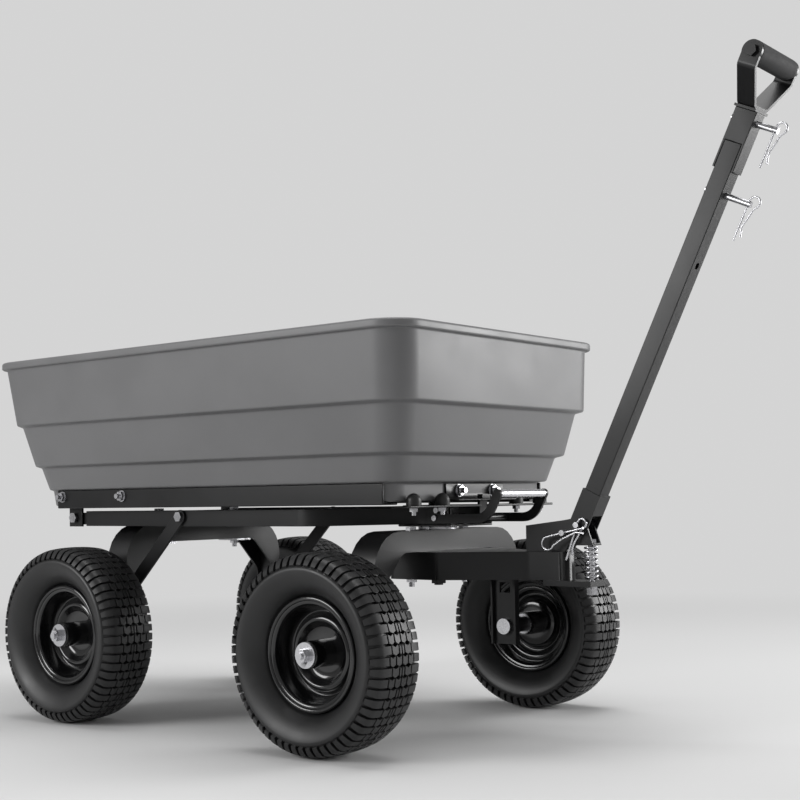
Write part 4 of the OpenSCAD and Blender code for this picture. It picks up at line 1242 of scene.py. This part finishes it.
@dataclass
class PhotoCamera:
    """The camera that took the photograph, as fitted to the wheels, the tub and the tongue."""

    focal_px: float = 1386.77
    yaw: float = 39.86
    pitch: float = 2.44
    roll: float = -0.90
    place: tuple[float, float, float] = (1606.54, -2025.56, 417.74)
    middle_px: Point = (351.94, 437.61)
    sensor: float = 36.0

    def build(self) -> None:
        """Make the camera and take it as the scene's own."""
        yaw, pitch, roll = (math.radians(v) for v in (self.yaw, self.pitch, self.roll))
        flat = math.cos(pitch)
        ahead = Vector((-math.sin(yaw) * flat, math.cos(yaw) * flat, math.sin(pitch)))
        level = ahead.cross(Vector((0, 0, 1))).normalized()
        above = level.cross(ahead)
        right = level * math.cos(roll) + above * math.sin(roll)
        up = above * math.cos(roll) - level * math.sin(roll)
        lens = bpy.data.cameras.new("photo_camera")
        lens.sensor_width = self.sensor
        lens.lens = self.focal_px * self.sensor / PHOTO_SIDE
        lens.shift_x = (PHOTO_SIDE / 2 - self.middle_px[0]) / PHOTO_SIDE
        lens.shift_y = (self.middle_px[1] - PHOTO_SIDE / 2) / PHOTO_SIDE
        camera = added("photo_camera", lens)
        turned = Matrix((right, up, -ahead)).transposed().to_4x4()
        camera.matrix_world = Matrix.Translation(Vector(self.place) * MM) @ turned
        bpy.context.scene.camera = camera


@dataclass(frozen=True)
class Lamp:
    """One soft box of the studio.

    Attributes:
        name: Its name.
        place: Where it hangs, in metres.
        aim: The point that it faces.
        size: Its width and height.
        power: Its power in watts.
    """

    name: str
    place: tuple[float, float, float]
    aim: tuple[float, float, float]
    size: Point
    power: float

    def build(self) -> None:
        """Hang the lamp."""
        light = bpy.data.lights.new(self.name, "AREA")
        light.shape = "RECTANGLE"
        light.size, light.size_y = self.size
        light.energy = self.power
        lamp = added(self.name, light)
        away = Vector(self.place) - Vector(self.aim)
        turned = away.to_track_quat("Z", "Y").to_matrix().to_4x4()
        lamp.matrix_world = Matrix.Translation(Vector(self.place)) @ turned


@dataclass
class Studio:
    """A pale floor that runs into a pale background, and soft boxes."""

    floor_half: float = 40.0
    floor_tone: float = 0.62
    floor_roughness: float = 0.9
    floor_specular: float = 0.1
    background: float = 0.66
    near: float = 1.1
    far: float = 3.6
    ambient: float = 0.34
    lamps: tuple[Lamp, ...] = (
        Lamp("front_box", (2.7, 3.0, 1.2), (0.25, 0.0, 0.55), (2.0, 1.4), 115.0),
        Lamp("side_box", (-1.7, -3.3, 1.6), (0.0, 0.0, 0.4), (1.8, 1.6), 75.0),
        Lamp("top_box", (-0.1, 0.3, 3.6), (0.0, 0.0, 0.5), (2.8, 2.2), 90.0))

    def paint(self) -> bpy.types.Material:
        """Make the floor's material, which the camera sees fade into the background's tone.

        Returns:
            The material.
        """
        material = bpy.data.materials.new("pale floor")
        material.use_nodes = True
        tree = material.node_tree
        shader = tree.nodes["Principled BSDF"]
        preset(shader, {
            "Base Color": (self.floor_tone,) * 3 + (1.0,), "Roughness": self.floor_roughness,
            "Specular IOR Level": self.floor_specular})
        place = tree.nodes.new("ShaderNodeTexCoord")
        away = tree.nodes.new("ShaderNodeVectorMath")
        away.operation = "LENGTH"
        join(place, "Object", away, 0)
        fade = tree.nodes.new("ShaderNodeMapRange")
        fade.interpolation_type = "SMOOTHSTEP"
        preset(fade, {"From Min": self.near, "From Max": self.far})
        join(away, "Value", fade, "Value")
        path = tree.nodes.new("ShaderNodeLightPath")
        seen = tree.nodes.new("ShaderNodeMath")
        seen.operation = "MULTIPLY"
        join(fade, "Result", seen, 0)
        join(path, "Is Camera Ray", seen, 1)
        plain = tree.nodes.new("ShaderNodeEmission")
        preset(plain, {"Color": (self.background,) * 3 + (1.0,)})
        mix = tree.nodes.new("ShaderNodeMixShader")
        join(seen, "Value", mix, "Fac")
        join(shader, "BSDF", mix, 1)
        join(plain, "Emission", mix, 2)
        join(mix, "Shader", tree.nodes["Material Output"], "Surface")
        return material

    def build_floor(self) -> None:
        """Lay the floor."""
        h = self.floor_half
        mesh = bpy.data.meshes.new("floor")
        mesh.from_pydata([(-h, -h, 0), (h, -h, 0), (h, h, 0), (-h, h, 0)], [], [(0, 1, 2, 3)])
        mesh.materials.append(self.paint())
        added("floor", mesh)

    def build_sky(self) -> None:
        """Make the background, pale to the camera and dim as a light."""
        world = bpy.data.worlds.new("studio")
        world.use_nodes = True
        tree = world.node_tree
        sky = tree.nodes["Background"]
        preset(sky, {"Color": (1.0, 1.0, 1.0, 1.0)})
        path = tree.nodes.new("ShaderNodeLightPath")
        level = tree.nodes.new("ShaderNodeMapRange")
        preset(level, {"To Min": self.ambient, "To Max": self.background})
        join(path, "Is Camera Ray", level, "Value")
        join(level, "Result", sky, "Strength")
        bpy.context.scene.world = world

    def build(self) -> None:
        """Make the floor, the sky and the lamps."""
        self.build_floor()
        self.build_sky()
        for lamp in self.lamps:
            lamp.build()


def main() -> None:
    """Dress the cart and light it."""
    logging.basicConfig(level=logging.INFO, format="%(name)s: %(message)s")
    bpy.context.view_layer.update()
    bpy.context.scene.view_settings.view_transform = "Standard"
    PhotoCamera().build()
    Studio().build()
    shop = Workshop()
    Tub().build(shop)
    for corner in Corner:
        Wheel(corner).build(shop)
    SteelWork().build(shop)
    WireWork().build(shop)
    Hardware().build(shop)
    Grips().build(shop)
    shop.paint_rest()


if __name__ == "__main__":
    main()
